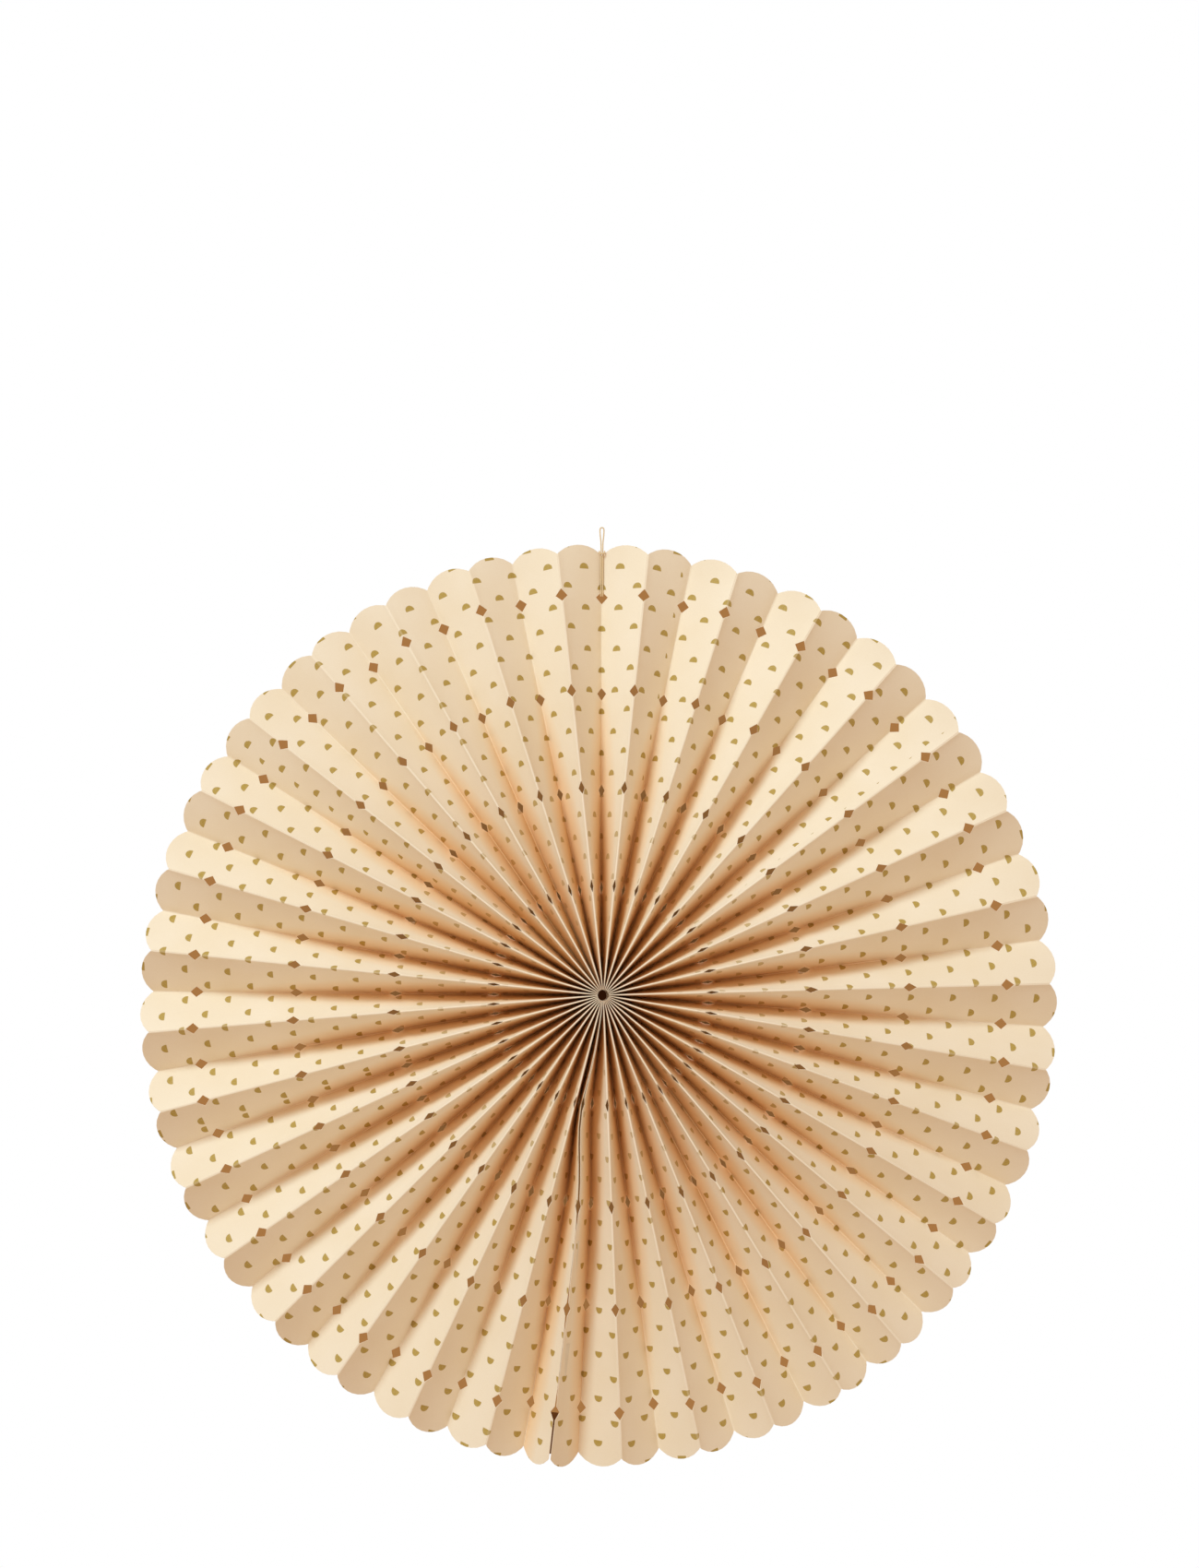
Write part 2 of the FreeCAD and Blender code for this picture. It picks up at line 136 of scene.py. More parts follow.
# Handling: between two radii the ink goes from rubbed thin to whole, and the pale ridges, partly
# scuffs and partly a painted highlight, which reach this far from each fold, nearly end
RUBBED_RADII = (20.0, 130.0)
INK_LEFT_AT_HUB = 0.25
SCUFF_AND_HIGHLIGHT_RADII = (50.0, 130.0)
SCUFF_AND_HIGHLIGHT_REACH = (0.15, 0.8)
SCUFF_AND_HIGHLIGHT_COVER = 0.9
SCUFF_AND_HIGHLIGHT_LEFT_AT_RIM = 0.2

# The right half of the hanging thread's route in millimetres from the hub: from its bar at
# the rim, through the top cut-out, to the crown of the loop
HANG_ROUTE = [
    (1.15, 2.9, 244.6),
    (1.5, 3.5, 245.9),
    (1.5, 5.0, 246.4),
    (1.5, 6.0, 244.8),
    (1.4, 6.3, 242.0),
    (1.05, 6.9, 237.6),
    (0.75, 7.8, 230.0),
    (0.52, 8.0, 225.0),
    (0.48, 8.2, 221.5),
    (0.48, 6.35, 221.4),
    (0.5, 6.25, 224.8),
    (0.52, 5.6, 230.5),
    (0.47, 4.9, 238.0),
    (0.46, 4.0, 245.5),
    (0.5, 3.55, 251.0),
    (0.95, 3.45, 254.6),
    (1.15, 3.5, 257.4),
    (0.95, 3.5, 259.4),
]
# The route's point, counted on the left half, at which the loop is knotted
KNOT_POINT = 6
THREAD_DIAMETER = 0.8 * MM
THREAD_LAY = 2.4 * MM
THREAD_RELIEF = 0.1
THREAD_RING_SPACING = 0.15 * MM
THREAD_RING_POINTS = 18
PLIES = 3
# The knot is pulled tight: its thread is drawn thinner, and loops this far from its middle
KNOT_DRAWN = 0.75
KNOT_LOOP = 0.62
KNOT_WEAVE = 0.3

# The painted shade of the wall behind the cut-outs: the width of its rings, how much further back
# their inner edges lie, its size, how far it lies behind the deepest fold, and between which
# radii it gets lighter. Then the tongue of shade inside the seam.
PATCH_RING = 5.0
PATCH_TILT = 1.2
PATCH_RADIUS = 233.0
PATCH_BEHIND = 0.5
PATCH_SEGMENTS = 96
PATCH_SHADE_RADII = (20.0, 200.0)
TONGUE_RADII = (221.0, 242.5)
TONGUE_HALF = 2.0
TONGUE_DEPTH = -8.0
# The even light from all round
FILL_LIGHT = 0.64


# Camera


def add_camera():
    """Level with the hub, a touch to its left, tipped up so that the fan hangs low in view."""
    focal_pixels = 2282
    frame_pixels = (1300, 1700)
    hub_pixels = (653, 1079)
    sensor = 36.0
    distance = 1.15
    azimuth = math.radians(2.2)
    across, down = (hub - side / 2 for hub, side in zip(hub_pixels, frame_pixels))
    tip = math.atan(down / focal_pixels)
    yaw_past_hub = math.atan(across / focal_pixels)
    data = bpy.data.cameras.new("camera")
    data.sensor_width = sensor
    data.lens = sensor * focal_pixels / max(frame_pixels)
    camera = bpy.data.objects.new("camera", data)
    bpy.context.scene.collection.objects.link(camera)
    camera.location = HUB + distance * Vector((-math.sin(azimuth), -math.cos(azimuth), 0))
    camera.rotation_euler = (math.pi / 2 + tip, 0, -azimuth + yaw_past_hub)
    bpy.context.scene.camera = camera


# Nodes and colours


def linear(hex_colour):
    """sRGB hex to linear RGBA."""
    channels = [int(hex_colour[i : i + 2], 16) / 255 for i in (0, 2, 4)]
    values = [c / 12.92 if c <= 0.04045 else ((c + 0.055) / 1.055) ** 2.4 for c in channels]
    return (*values, 1.0)


def add(tree, kind, inputs, **settings):
    """Adds a node. A node given as an input is linked by its first output."""
    node = tree.nodes.new(kind)
    for name, value in settings.items():
        setattr(node, name, value)
    for key, value in inputs.items():
        for item in value if isinstance(value, list) else [value]:
            if isinstance(item, bpy.types.Node):
                item = item.outputs[0]
            if isinstance(item, bpy.types.NodeSocket):
                tree.links.new(item, node.inputs[key])
            else:
                node.inputs[key].default_value = item
    return node


MATH = "ShaderNodeMath"
RAMP = "ShaderNodeMapRange"
NOISE = "ShaderNodeTexNoise"
MIX = "ShaderNodeMix"
VECTOR = "ShaderNodeVectorMath"
STORE = "GeometryNodeStoreNamedAttribute"
READ = "GeometryNodeInputNamedAttribute"
# The Mix node's sockets for colours
FACTOR, FIRST, SECOND = 0, 6, 7
# The Map Range node's sockets
VALUE, FROM_LOW, FROM_HIGH, TO_LOW, TO_HIGH = range(5)


# Materials


def new_material(name):
    material = bpy.data.materials.new(name)
    material.use_nodes = True
    material.node_tree.nodes.clear()
    return material, material.node_tree


def paper_body(tree, light, dark, fibre_size, cloud_size):
    """Uncoated paper: fine crossed fibres in a slightly cloudy sheet. Gives colour, height."""
    place = add(tree, "ShaderNodeTexCoord", {}).outputs["Object"]
    fibre = add(tree, NOISE, {"Vector": place, "Scale": 1 / (fibre_size * MM), "Detail": 4.0})
    cloud = add(tree, NOISE, {"Vector": place, "Scale": 1 / (cloud_size * MM), "Detail": 3.0})
    cloudy = add(tree, RAMP, {VALUE: cloud, FROM_LOW: 0.3, FROM_HIGH: 0.7})
    tones = {FACTOR: cloudy, FIRST: linear(light), SECOND: linear(dark)}
    body = add(tree, MIX, tones, data_type="RGBA")
    flecks = add(tree, RAMP, {VALUE: fibre, FROM_LOW: 0.4, FROM_HIGH: 0.75, TO_HIGH: 0.12})
    tones = {FACTOR: flecks, FIRST: body.outputs[2], SECOND: linear("E0CBA8")}
    colour = add(tree, MIX, tones, data_type="RGBA")
    return colour.outputs[2], fibre


def paint_shade_in_folds(tree, colour, side):
    """Painted shade: deepens the colour inside narrow pleats, the less of its own sky the surface
    sees.
    """
    openness = add(tree, "ShaderNodeAttribute", {}, attribute_name=f"{side}_open").outputs["Fac"]
    # Painted shade in the folds: the more closed the pleat, the deeper the tint
    painted_shade = add(tree, RAMP, {VALUE: openness, FROM_LOW: 0.5, FROM_HIGH: 0.03})
    shade_tint = {FACTOR: painted_shade, FIRST: colour, SECOND: linear("FFDCAC")}
    return add(tree, MIX, shade_tint, data_type="RGBA", blend_type="MULTIPLY").outputs[2]


def finish(tree, colour, roughness, height, relief, **sockets):
    """Bump of the given relief in millimetres and the surface itself."""
    bump = add(tree, "ShaderNodeBump", {"Distance": relief * MM, "Height": height})
    inputs = {"Base Color": colour, "Roughness": roughness, "Normal": bump}
    surface = add(tree, "ShaderNodeBsdfPrincipled", {**inputs, **sockets})
    add(tree, "ShaderNodeOutputMaterial", {"Surface": surface})


def half_dot_row(tree, flat_x, flat_y, start, height):
    """Mask of one set of printed half dots: discs with their hub side cut flat."""
    half_space = DOT_PITCH * PANEL_WIDTH / 2
    from_start = add(tree, MATH, {0: flat_x, 1: start}, operation="SUBTRACT")
    along = add(tree, MATH, {0: from_start, 1: half_space, 2: -half_space}, operation="WRAP")
    from_row = add(tree, MATH, {0: flat_y, 1: height}, operation="SUBTRACT")
    half_row = DOT_ROW_PITCH / 2
    up = add(tree, MATH, {0: from_row, 1: half_row, 2: -half_row}, operation="WRAP")
    from_centre = add(tree, "ShaderNodeCombineXYZ", {0: along, 1: up})
    reach = add(tree, VECTOR, {0: from_centre}, operation="LENGTH").outputs["Value"]
    edge = DOT_SOFTNESS
    limits = {FROM_LOW: DOT_RADIUS + edge, FROM_HIGH: DOT_RADIUS - edge}
    disc = add(tree, RAMP, {VALUE: reach, **limits})
    limits = {FROM_LOW: DOT_FLAT_SIDE - edge, FROM_HIGH: DOT_FLAT_SIDE + edge}
    above = add(tree, RAMP, {VALUE: up, **limits})
    return add(tree, MATH, {0: disc, 1: above}, operation="MULTIPLY")


def make_printed_paper():
    """Uncoated cream craft paper, offset-printed: soft matte sheet, half dots in flat ochre
    ink that fills the fibres, so they are a touch smoother, with slightly ragged edges.
    Near the hub handling has rubbed the ink thin, and the ridges are paler: partly scuffed,
    partly a painted highlight."""
    material, tree = new_material("printed cream paper")
    paper, fibre = paper_body(tree, "F9EEDB", "F6E9D2", fibre_size=0.5, cloud_size=32)
    place = add(tree, "ShaderNodeTexCoord", {}).outputs["Object"]
    ragged = add(tree, NOISE, {"Vector": place, "Scale": 1 / (0.7 * MM)})
    wobble = add(tree, RAMP, {VALUE: ragged, TO_LOW: -DOT_RAGGED, TO_HIGH: DOT_RAGGED})
    flat = add(tree, "ShaderNodeUVMap", {}, uv_map="flat_mm")
    moved = add(tree, VECTOR, {0: flat, 1: wobble}, operation="ADD")
    across, from_hub = add(tree, "ShaderNodeSeparateXYZ", {0: moved}).outputs[:2]

    # The dots, shifted where one printed sheet ends and the next begins
    along = across
    for join, shift in PRINT_SHIFTS:
        right_of = {0: across, 1: join * PANEL_WIDTH}
        right_of = add(tree, MATH, right_of, operation="GREATER_THAN")
        shifted = {0: right_of, 1: -shift * PANEL_WIDTH, 2: along}
        along = add(tree, MATH, shifted, operation="MULTIPLY_ADD")
    sets = [
        half_dot_row(tree, along, from_hub, share * PANEL_WIDTH, height)
        for share, height in DOT_SETS
    ]
    dots = add(tree, MATH, {0: sets[0], 1: sets[1]}, operation="MAXIMUM")

    # The ink, uneven in the fibres and rubbed thin near the hub
    patchy = {VALUE: ragged, FROM_LOW: 0.3, FROM_HIGH: 0.7, TO_LOW: 1.0, TO_HIGH: 0.86}
    cover = add(tree, MATH, {0: dots, 1: add(tree, RAMP, patchy)}, operation="MULTIPLY")
    low, high = RUBBED_RADII
    rubbed = {VALUE: from_hub, FROM_LOW: low, FROM_HIGH: high, TO_LOW: INK_LEFT_AT_HUB}
    cover = add(tree, MATH, {0: cover, 1: add(tree, RAMP, rubbed)}, operation="MULTIPLY")
    ink = {FACTOR: cover, FIRST: paper, SECOND: linear("B59840")}
    printed = add(tree, MIX, ink, data_type="RGBA")
    # Painted shade inside the narrow pleats of the front
    colour = paint_shade_in_folds(tree, printed.outputs[2], "front")

    # The paler ridges, which are the odd folds of the strip: partly scuffed, partly a painted
    # highlight where the crests catch the light
    to_ridge = add(tree, MATH, {0: across, 1: PANEL_WIDTH}, operation="SUBTRACT")
    to_ridge = {0: to_ridge, 1: PANEL_WIDTH, 2: -PANEL_WIDTH}
    to_ridge = add(tree, MATH, to_ridge, operation="WRAP")
    to_ridge = add(tree, MATH, {0: to_ridge}, operation="ABSOLUTE")
    low, high = SCUFF_AND_HIGHLIGHT_REACH
    scuff_and_highlight = {VALUE: to_ridge, FROM_LOW: high, FROM_HIGH: low, TO_HIGH: SCUFF_AND_HIGHLIGHT_COVER}
    scuff_and_highlight = add(tree, RAMP, scuff_and_highlight)
    low, high = SCUFF_AND_HIGHLIGHT_RADII
    hub_weight = {VALUE: from_hub, FROM_LOW: low, FROM_HIGH: high}
    hub_weight = add(tree, RAMP, {**hub_weight, TO_LOW: 1.0, TO_HIGH: SCUFF_AND_HIGHLIGHT_LEFT_AT_RIM})
    scuff_and_highlight = add(tree, MATH, {0: scuff_and_highlight, 1: hub_weight}, operation="MULTIPLY")
    # Painted highlight on the ridge crests, with real scuffing, strongest near the hub
    pale_ridges = {FACTOR: scuff_and_highlight, FIRST: colour, SECOND: linear("FFF3E0")}
    colour = add(tree, MIX, pale_ridges, data_type="RGBA").outputs[2]
    roughness = add(tree, RAMP, {VALUE: dots, TO_LOW: 0.82, TO_HIGH: 0.62})
    finish(tree, colour, roughness, fibre, 0.03, **{"Specular IOR Level": 0.3})
    return material


def make_plain_paper():
    """The same paper's unprinted back: soft, matte, a little cloudier."""
    material, tree = new_material("plain cream paper")
    colour, fibre = paper_body(tree, "F8EDDB", "F4E7D1", fibre_size=0.5, cloud_size=24)
    # Painted shade inside the narrow pleats of the back
    colour = paint_shade_in_folds(tree, colour, "back")
    finish(tree, colour, 0.85, fibre, 0.04, **{"Specular IOR Level": 0.3})
    return material


def make_cut_paper():
    """Die-cut edge of the paper: torn fibre ends, lighter and rougher than its faces."""
    material, tree = new_material("die-cut paper edge")
    colour, fibre = paper_body(tree, "FBF3E6", "F3E4CA", fibre_size=0.2, cloud_size=6)
    finish(tree, colour, 0.92, fibre, 0.05, **{"Specular IOR Level": 0.2})
    return material


def make_tab_paper():
    """Adhesive paper tab: calendered white paper with faint crossed fibres."""
    material, tree = new_material("calendered tab paper")
    colour, fibre = paper_body(tree, "F1E9D9", "E6DBC6", fibre_size=0.9, cloud_size=9)
    finish(tree, colour, 0.55, fibre, 0.02, **{"Specular IOR Level": 0.4})
    return material


def make_cotton():
    """Undyed spun cotton thread: matte, hairy, warm tan where the plies shade each other."""
    material, tree = new_material("spun cotton thread")
    place = add(tree, "ShaderNodeTexCoord", {}).outputs["Object"]
    hairs = add(tree, NOISE, {"Vector": place, "Scale": 1 / (0.15 * MM), "Detail": 3.0})
    tones = {FACTOR: hairs, FIRST: linear("F3E2BF"), SECOND: linear("DDBB82")}
    colour = add(tree, MIX, tones, data_type="RGBA")
    finish(tree, colour.outputs[2], 0.9, hairs, 0.06, **{"Sheen Weight": 0.3})
    return material


# The pleated sheet: one flat panel, repeated along the strip, folded round and thickened


def sheet_rows():
    """Rows of a flat panel from the hub side out: (radius, notch depth there, kind)."""
    low, high = GATHER_RADIUS - GATHER_HOLE, GATHER_RADIUS + GATHER_HOLE
    rows = [(INNER_RADIUS, 0.0, "fold"), (low, 0.0, "hole"), (high, 0.0, "hole")]
    growth = ((CUT_RADII[0] - CUT_HALF) / high) ** (1 / HUB_SPANS)
    rows += [(high * growth**span, 0.0, "fold") for span in range(1, HUB_SPANS)]
    for index, middle in enumerate(CUT_RADII):
        rows.append((middle - CUT_HALF, 0.0, "fold"))
        for share in (-0.5, 0.0, 0.5):
            rows.append((middle + share * CUT_HALF, CUT_DEPTH * (1 - abs(share)), "fold"))
        rows.append((middle + CUT_HALF, 0.0, "fold"))
        if index + 1 < len(CUT_RADII):
            gap = CUT_RADII[index + 1] - middle - 2 * CUT_HALF
            for span in range(1, STRETCH_SPANS):
                rows.append((middle + CUT_HALF + gap * span / STRETCH_SPANS, 0.0, "fold"))
    last = CUT_RADII[-1] + CUT_HALF
    for span in range(1, RIM_SPANS + 1):
        rows.append((last + (RIM_RADIUS - last) * span / RIM_SPANS, 0.0, "rim"))
    return rows


def scallop_rise(place):
    """How far the scallop stands out past the rim, at a place across the panel."""
    half = PANEL_WIDTH / 2
    arc = (half**2 + SCALLOP_RISE**2) / (2 * SCALLOP_RISE)
    return math.sqrt(arc**2 - (place - half) ** 2) - (arc - SCALLOP_RISE)


def flat_panel():
    """One panel as cut, before folding: x across it from its left fold, y from the hub."""
    rows = sheet_rows()
    last_cut = CUT_RADII[-1] + CUT_HALF
    mesh = bmesh.new()
    grid = []
    for radius, notch, kind in rows:
        opened = min(1.0, radius / HOLE_COLUMN_REACH)
        half = GATHER_HOLE + (MIDDLE_COLUMN / 2 - GATHER_HOLE) * opened
        middle = PANEL_WIDTH / 2 - half
        even = np.linspace(CREASE_COLUMNS[-1], middle, EVEN_COLUMNS + 1)[1:]
        columns = np.array([*CREASE_COLUMNS, *even])
        left = notch + columns * (middle - notch) / middle
        places = [*left, *(PANEL_WIDTH - left[::-1])]
        line = []
        for place in places:
            height = radius
            if kind == "rim":
                height += scallop_rise(place) * (radius - last_cut) / (RIM_RADIUS - last_cut)
            line.append(mesh.verts.new((place * MM, height * MM, 0)))
        grid.append(line)
    for row in range(len(rows) - 1):
        for column in range(len(grid[0]) - 1):
            thread_hole = rows[row][2] == rows[row + 1][2] == "hole"
            if thread_hole and column == len(CREASE_COLUMNS) + EVEN_COLUMNS - 1:
                continue
            lower, upper = grid[row], grid[row + 1]
            mesh.faces.new([lower[column], lower[column + 1], upper[column + 1], upper[column]])
    data = bpy.data.meshes.new("flat_panel")
    mesh.to_mesh(data)
    mesh.free()
    return data


def fold_lift(tree, sizes, sideways, radius):
    """Depth from ridge to valley at a radius: what the panel's width leaves beside its
    sideways reach. Past the rim it runs on straight."""
    inside = add(tree, MATH, {0: radius, 1: sizes["Rim Radius"]}, operation="MINIMUM")
    past = add(tree, MATH, {0: radius, 1: inside}, operation="SUBTRACT")
    reach = add(tree, MATH, {0: sideways, 1: inside}, operation="MULTIPLY")
    reach_square = add(tree, MATH, {0: reach, 1: 2.0}, operation="POWER")
    width_square = add(tree, MATH, {0: sizes["Panel Width"], 1: 2.0}, operation="POWER")
    rest = add(tree, MATH, {0: width_square, 1: reach_square}, operation="SUBTRACT")
    lift = add(tree, MATH, {0: rest}, operation="SQRT")
    steep = add(tree, MATH, {0: sideways, 1: reach}, operation="MULTIPLY")
    slope = add(tree, MATH, {0: steep, 1: lift}, operation="DIVIDE")
    fall = add(tree, MATH, {0: slope, 1: past}, operation="MULTIPLY")
    return add(tree, MATH, {0: lift, 1: fall}, operation="SUBTRACT")


def wave(tree, sizes, even, turns, shape):
    """The wave of that many turns round the disc, or its cosine, at an even angle."""
    turned = add(tree, MATH, {0: even, 1: turns}, operation="MULTIPLY")
    leaned = add(tree, MATH, {0: turned, 1: sizes[f"Lean {turns}"]}, operation="SUBTRACT")
    value = add(tree, MATH, {0: leaned}, operation=shape)
    return add(tree, MATH, {0: value, 1: sizes[f"Wave {turns}"]}, operation="MULTIPLY")


def fold_line(tree, sizes, fold, radius):
    """A point of a fold: even numbers are valleys, odd ones ridges, the two ends the seam."""
    ends = {1: sizes["First End"], 2: sizes["Last End"]}
    steps = add(tree, "ShaderNodeClamp", {0: fold, **ends})
    even = add(tree, MATH, {0: steps, 1: sizes["Fold Step"]}, operation="MULTIPLY")
    angle = add(tree, MATH, {0: even, 1: sizes["Turn"]}, operation="ADD")
    for turns, *_ in WAVES:
        part = wave(tree, sizes, even, turns, "SINE")
        angle = add(tree, MATH, {0: angle, 1: part}, operation="ADD")

    # The ridge at the seam and its neighbours sway sideways near the first cut-outs
    from_middle = add(tree, MATH, {0: fold, 1: MIDDLE_FOLD}, operation="SUBTRACT")
    beside = add(tree, MATH, {0: from_middle}, operation="ABSOLUTE")
    half_strip = PANELS / 2
    near = {VALUE: beside, FROM_LOW: half_strip - 2, FROM_HIGH: half_strip}
    nearness = add(tree, RAMP, near)
    centred = add(tree, MATH, {0: radius, 1: sizes["Sway Radius"]}, operation="SUBTRACT")
    apart = add(tree, MATH, {0: centred, 1: sizes["Sway Reach"]}, operation="DIVIDE")
    apart_square = add(tree, MATH, {0: apart, 1: apart}, operation="MULTIPLY")
    fading = add(tree, MATH, {0: apart_square, 1: -1.0}, operation="MULTIPLY")
    fade = add(tree, MATH, {0: fading}, operation="EXPONENT")
    swayed = {0: fade, 1: sizes["Sway"], 2: sizes["Seam Lean"]}
    sway = add(tree, MATH, swayed, operation="MULTIPLY_ADD")
    sway = add(tree, MATH, {0: nearness, 1: sway}, operation="MULTIPLY")
    angle = add(tree, MATH, {0: angle, 1: sway}, operation="ADD")

    # At the seam each panel stops short of the ridge line
    at_seam = add(tree, MATH, {0: beside, 1: half_strip - 0.5}, operation="GREATER_THAN")
    which_end = add(tree, MATH, {0: from_middle}, operation="SIGN")
    short = add(tree, MATH, {0: at_seam, 1: which_end}, operation="MULTIPLY")
    reached = add(tree, MATH, {0: radius, 1: SLIT_REACH * MM}, operation="DIVIDE")
    slit = add(tree, "ShaderNodeFloatCurve", {1: reached})
    draw_curve(slit.mapping, [(reach / SLIT_REACH, width / 2) for reach, width in SEAM_SLIT])
    stop = add(tree, MATH, {0: slit, 1: MM, 2: sizes["Seam Stop"]}, operation="MULTIPLY_ADD")
    gap = add(tree, MATH, {0: stop, 1: radius}, operation="DIVIDE")
    short = add(tree, MATH, {0: short, 1: gap}, operation="MULTIPLY")
    angle = add(tree, MATH, {0: angle, 1: short}, operation="SUBTRACT")

    # How far the panels beside the fold reach sideways, per unit of radius
    stretch = 1.0
    for turns, *_ in WAVES:
        part = wave(tree, sizes, even, turns, "COSINE")
        stretch = add(tree, MATH, {0: part, 1: turns, 2: stretch}, operation="MULTIPLY_ADD")
    step = add(tree, MATH, {0: stretch, 1: sizes["Fold Step"]}, operation="MULTIPLY")
    half_step = add(tree, MATH, {0: step, 1: 0.5}, operation="MULTIPLY")
    sideways = add(tree, MATH, {0: half_step}, operation="SINE")
    sideways = add(tree, MATH, {0: sideways, 1: 2.0}, operation="MULTIPLY")

    # Depth: valleys behind the middle plane, ridges in front. The ridge at the seam stands
    # in front of its valleys by what its own two panels reach.
    turn_over = add(tree, MATH, {0: fold, 1: math.pi}, operation="MULTIPLY")
    side = add(tree, MATH, {0: turn_over}, operation="COSINE")
    half_side = add(tree, MATH, {0: side, 1: 0.5}, operation="MULTIPLY")
    lift = fold_lift(tree, sizes, sideways, radius)
    depth = add(tree, MATH, {0: half_side, 1: lift}, operation="MULTIPLY")
    valley = fold_lift(tree, sizes, sizes["Seam Valley Reach"], radius)
    proud = fold_lift(tree, sizes, sizes["Seam Panel Reach"], radius)
    half_valley = add(tree, MATH, {0: valley, 1: 0.5}, operation="MULTIPLY")
    seam_depth = add(tree, MATH, {0: half_valley, 1: proud}, operation="SUBTRACT")
    depth = add(tree, MIX, {0: at_seam, 2: depth, 3: seam_depth})

    sideways_place = add(tree, MATH, {0: angle}, operation="SINE")
    upward_place = add(tree, MATH, {0: angle}, operation="COSINE")
    x = add(tree, MATH, {0: sideways_place, 1: radius}, operation="MULTIPLY")
    z = add(tree, MATH, {0: upward_place, 1: radius}, operation="MULTIPLY")
    return add(tree, "ShaderNodeCombineXYZ", {0: x, 1: depth, 2: z})


def draw_curve(mapping, points):
    """Sets a curve's points, joined by straight lines."""
    curve = mapping.curves[0]
    while len(curve.points) < len(points):
        curve.points.new(0.5, 0.5)
    for target, place in zip(curve.points, points):
        target.location = place
        target.handle_type = "VECTOR"
    mapping.update()


def lay_strip(tree, sizes):
    """The flat strip: panels side by side from the seam's right edge round to its left edge."""
    width = sizes["Panel Width"]
    start = add(tree, MATH, {0: width, 1: SEAM - PANELS}, operation="MULTIPLY")
    places = {
        "Count": PANELS,
        "Start Location": add(tree, "ShaderNodeCombineXYZ", {0: start}),
        "Offset": add(tree, "ShaderNodeCombineXYZ", {0: width}),
    }
    line = add(tree, "GeometryNodeMeshLine", places)
    copies = {"Points": line, "Instance": sizes["Geometry"]}
    strip = add(tree, "GeometryNodeInstanceOnPoints", copies)
    strip = add(tree, "GeometryNodeRealizeInstances", {0: strip})
    return add(tree, "GeometryNodeMergeByDistance", {0: strip, "Distance": STRIP_WELD * MM})


def crease_swell(tree, sizes, distance, radius):
    """How far the paper swells out at a distance from the fold inside it, less at the hub."""
    grown = add(tree, MATH, {0: radius, 1: sizes["Crease Growth"]}, operation="DIVIDE")
    grown = add(tree, MATH, {0: grown, 1: 1.0}, operation="MINIMUM")
    fullest = add(tree, MATH, {0: grown, 1: sizes["Crease Swell"]}, operation="MULTIPLY")
    near = add(tree, MATH, {0: distance, 1: sizes["Crease Reach"]}, operation="DIVIDE")
    falling = add(tree, MATH, {0: 1.0, 1: near}, operation="SUBTRACT")
    fade = add(tree, MATH, {0: falling}, operation="EXPONENT")
    swell = add(tree, MATH, {0: near, 1: fade}, operation="MULTIPLY")
    return add(tree, MATH, {0: swell, 1: fullest}, operation="MULTIPLY")


def pleat_openness(tree, sizes, distance, wide, deep):
    """How open the pleat is at a distance from the fold inside it: the share of its own sky
    that the surface sees there."""
    width = sizes["Panel Width"]
    tilt = add(tree, MATH, {0: wide, 1: deep}, operation="ARCTAN2")
    from_top = add(tree, MATH, {0: width, 1: distance}, operation="SUBTRACT")
    twice = add(tree, MATH, {0: width, 1: 2.0}, operation="MULTIPLY")
    to_ridge = add(tree, MATH, {0: twice, 1: from_top}, operation="SUBTRACT")
    over = add(tree, MATH, {0: to_ridge, 1: wide}, operation="MULTIPLY")
    up = add(tree, MATH, {0: from_top, 1: deep}, operation="MULTIPLY")
    sight = add(tree, MATH, {0: over, 1: up}, operation="ARCTAN2")
    sight = add(tree, MATH, {0: sight, 1: tilt}, operation="ADD")
    open_part = add(tree, MATH, {0: sight}, operation="COSINE")
    return add(tree, MATH, {0: open_part, 1: -0.5, 2: 0.5}, operation="MULTIPLY_ADD")


def panel_bow(tree, sizes, panel, share, radius):
    """The slight bow of a hand-folded panel: none at its folds and little at the hub."""
    outwards = add(tree, MATH, {0: radius, 1: sizes["Bow Length"]}, operation="DIVIDE")
    spot = add(tree, "ShaderNodeCombineXYZ", {0: panel, 1: outwards, 2: sizes["Seed"]})
    chance = add(tree, NOISE, {"Vector": spot, "Scale": BOW_CHANGE, "Detail": 1.0})
    bowed = add(tree, RAMP, {VALUE: chance, TO_LOW: -1.0, TO_HIGH: 1.0})
    arch = add(tree, MATH, {0: share, 1: math.pi}, operation="MULTIPLY")
    arch = add(tree, MATH, {0: arch}, operation="SINE")
    arch = add(tree, MATH, {0: arch, 1: 2.0}, operation="POWER")
    from_hub = add(tree, MATH, {0: radius, 1: sizes["Rim Radius"]}, operation="DIVIDE")
    bow = add(tree, MATH, {0: bowed, 1: arch}, operation="MULTIPLY")
    bow = add(tree, MATH, {0: bow, 1: from_hub}, operation="MULTIPLY")
    return add(tree, MATH, {0: bow, 1: sizes["Bow"]}, operation="MULTIPLY")


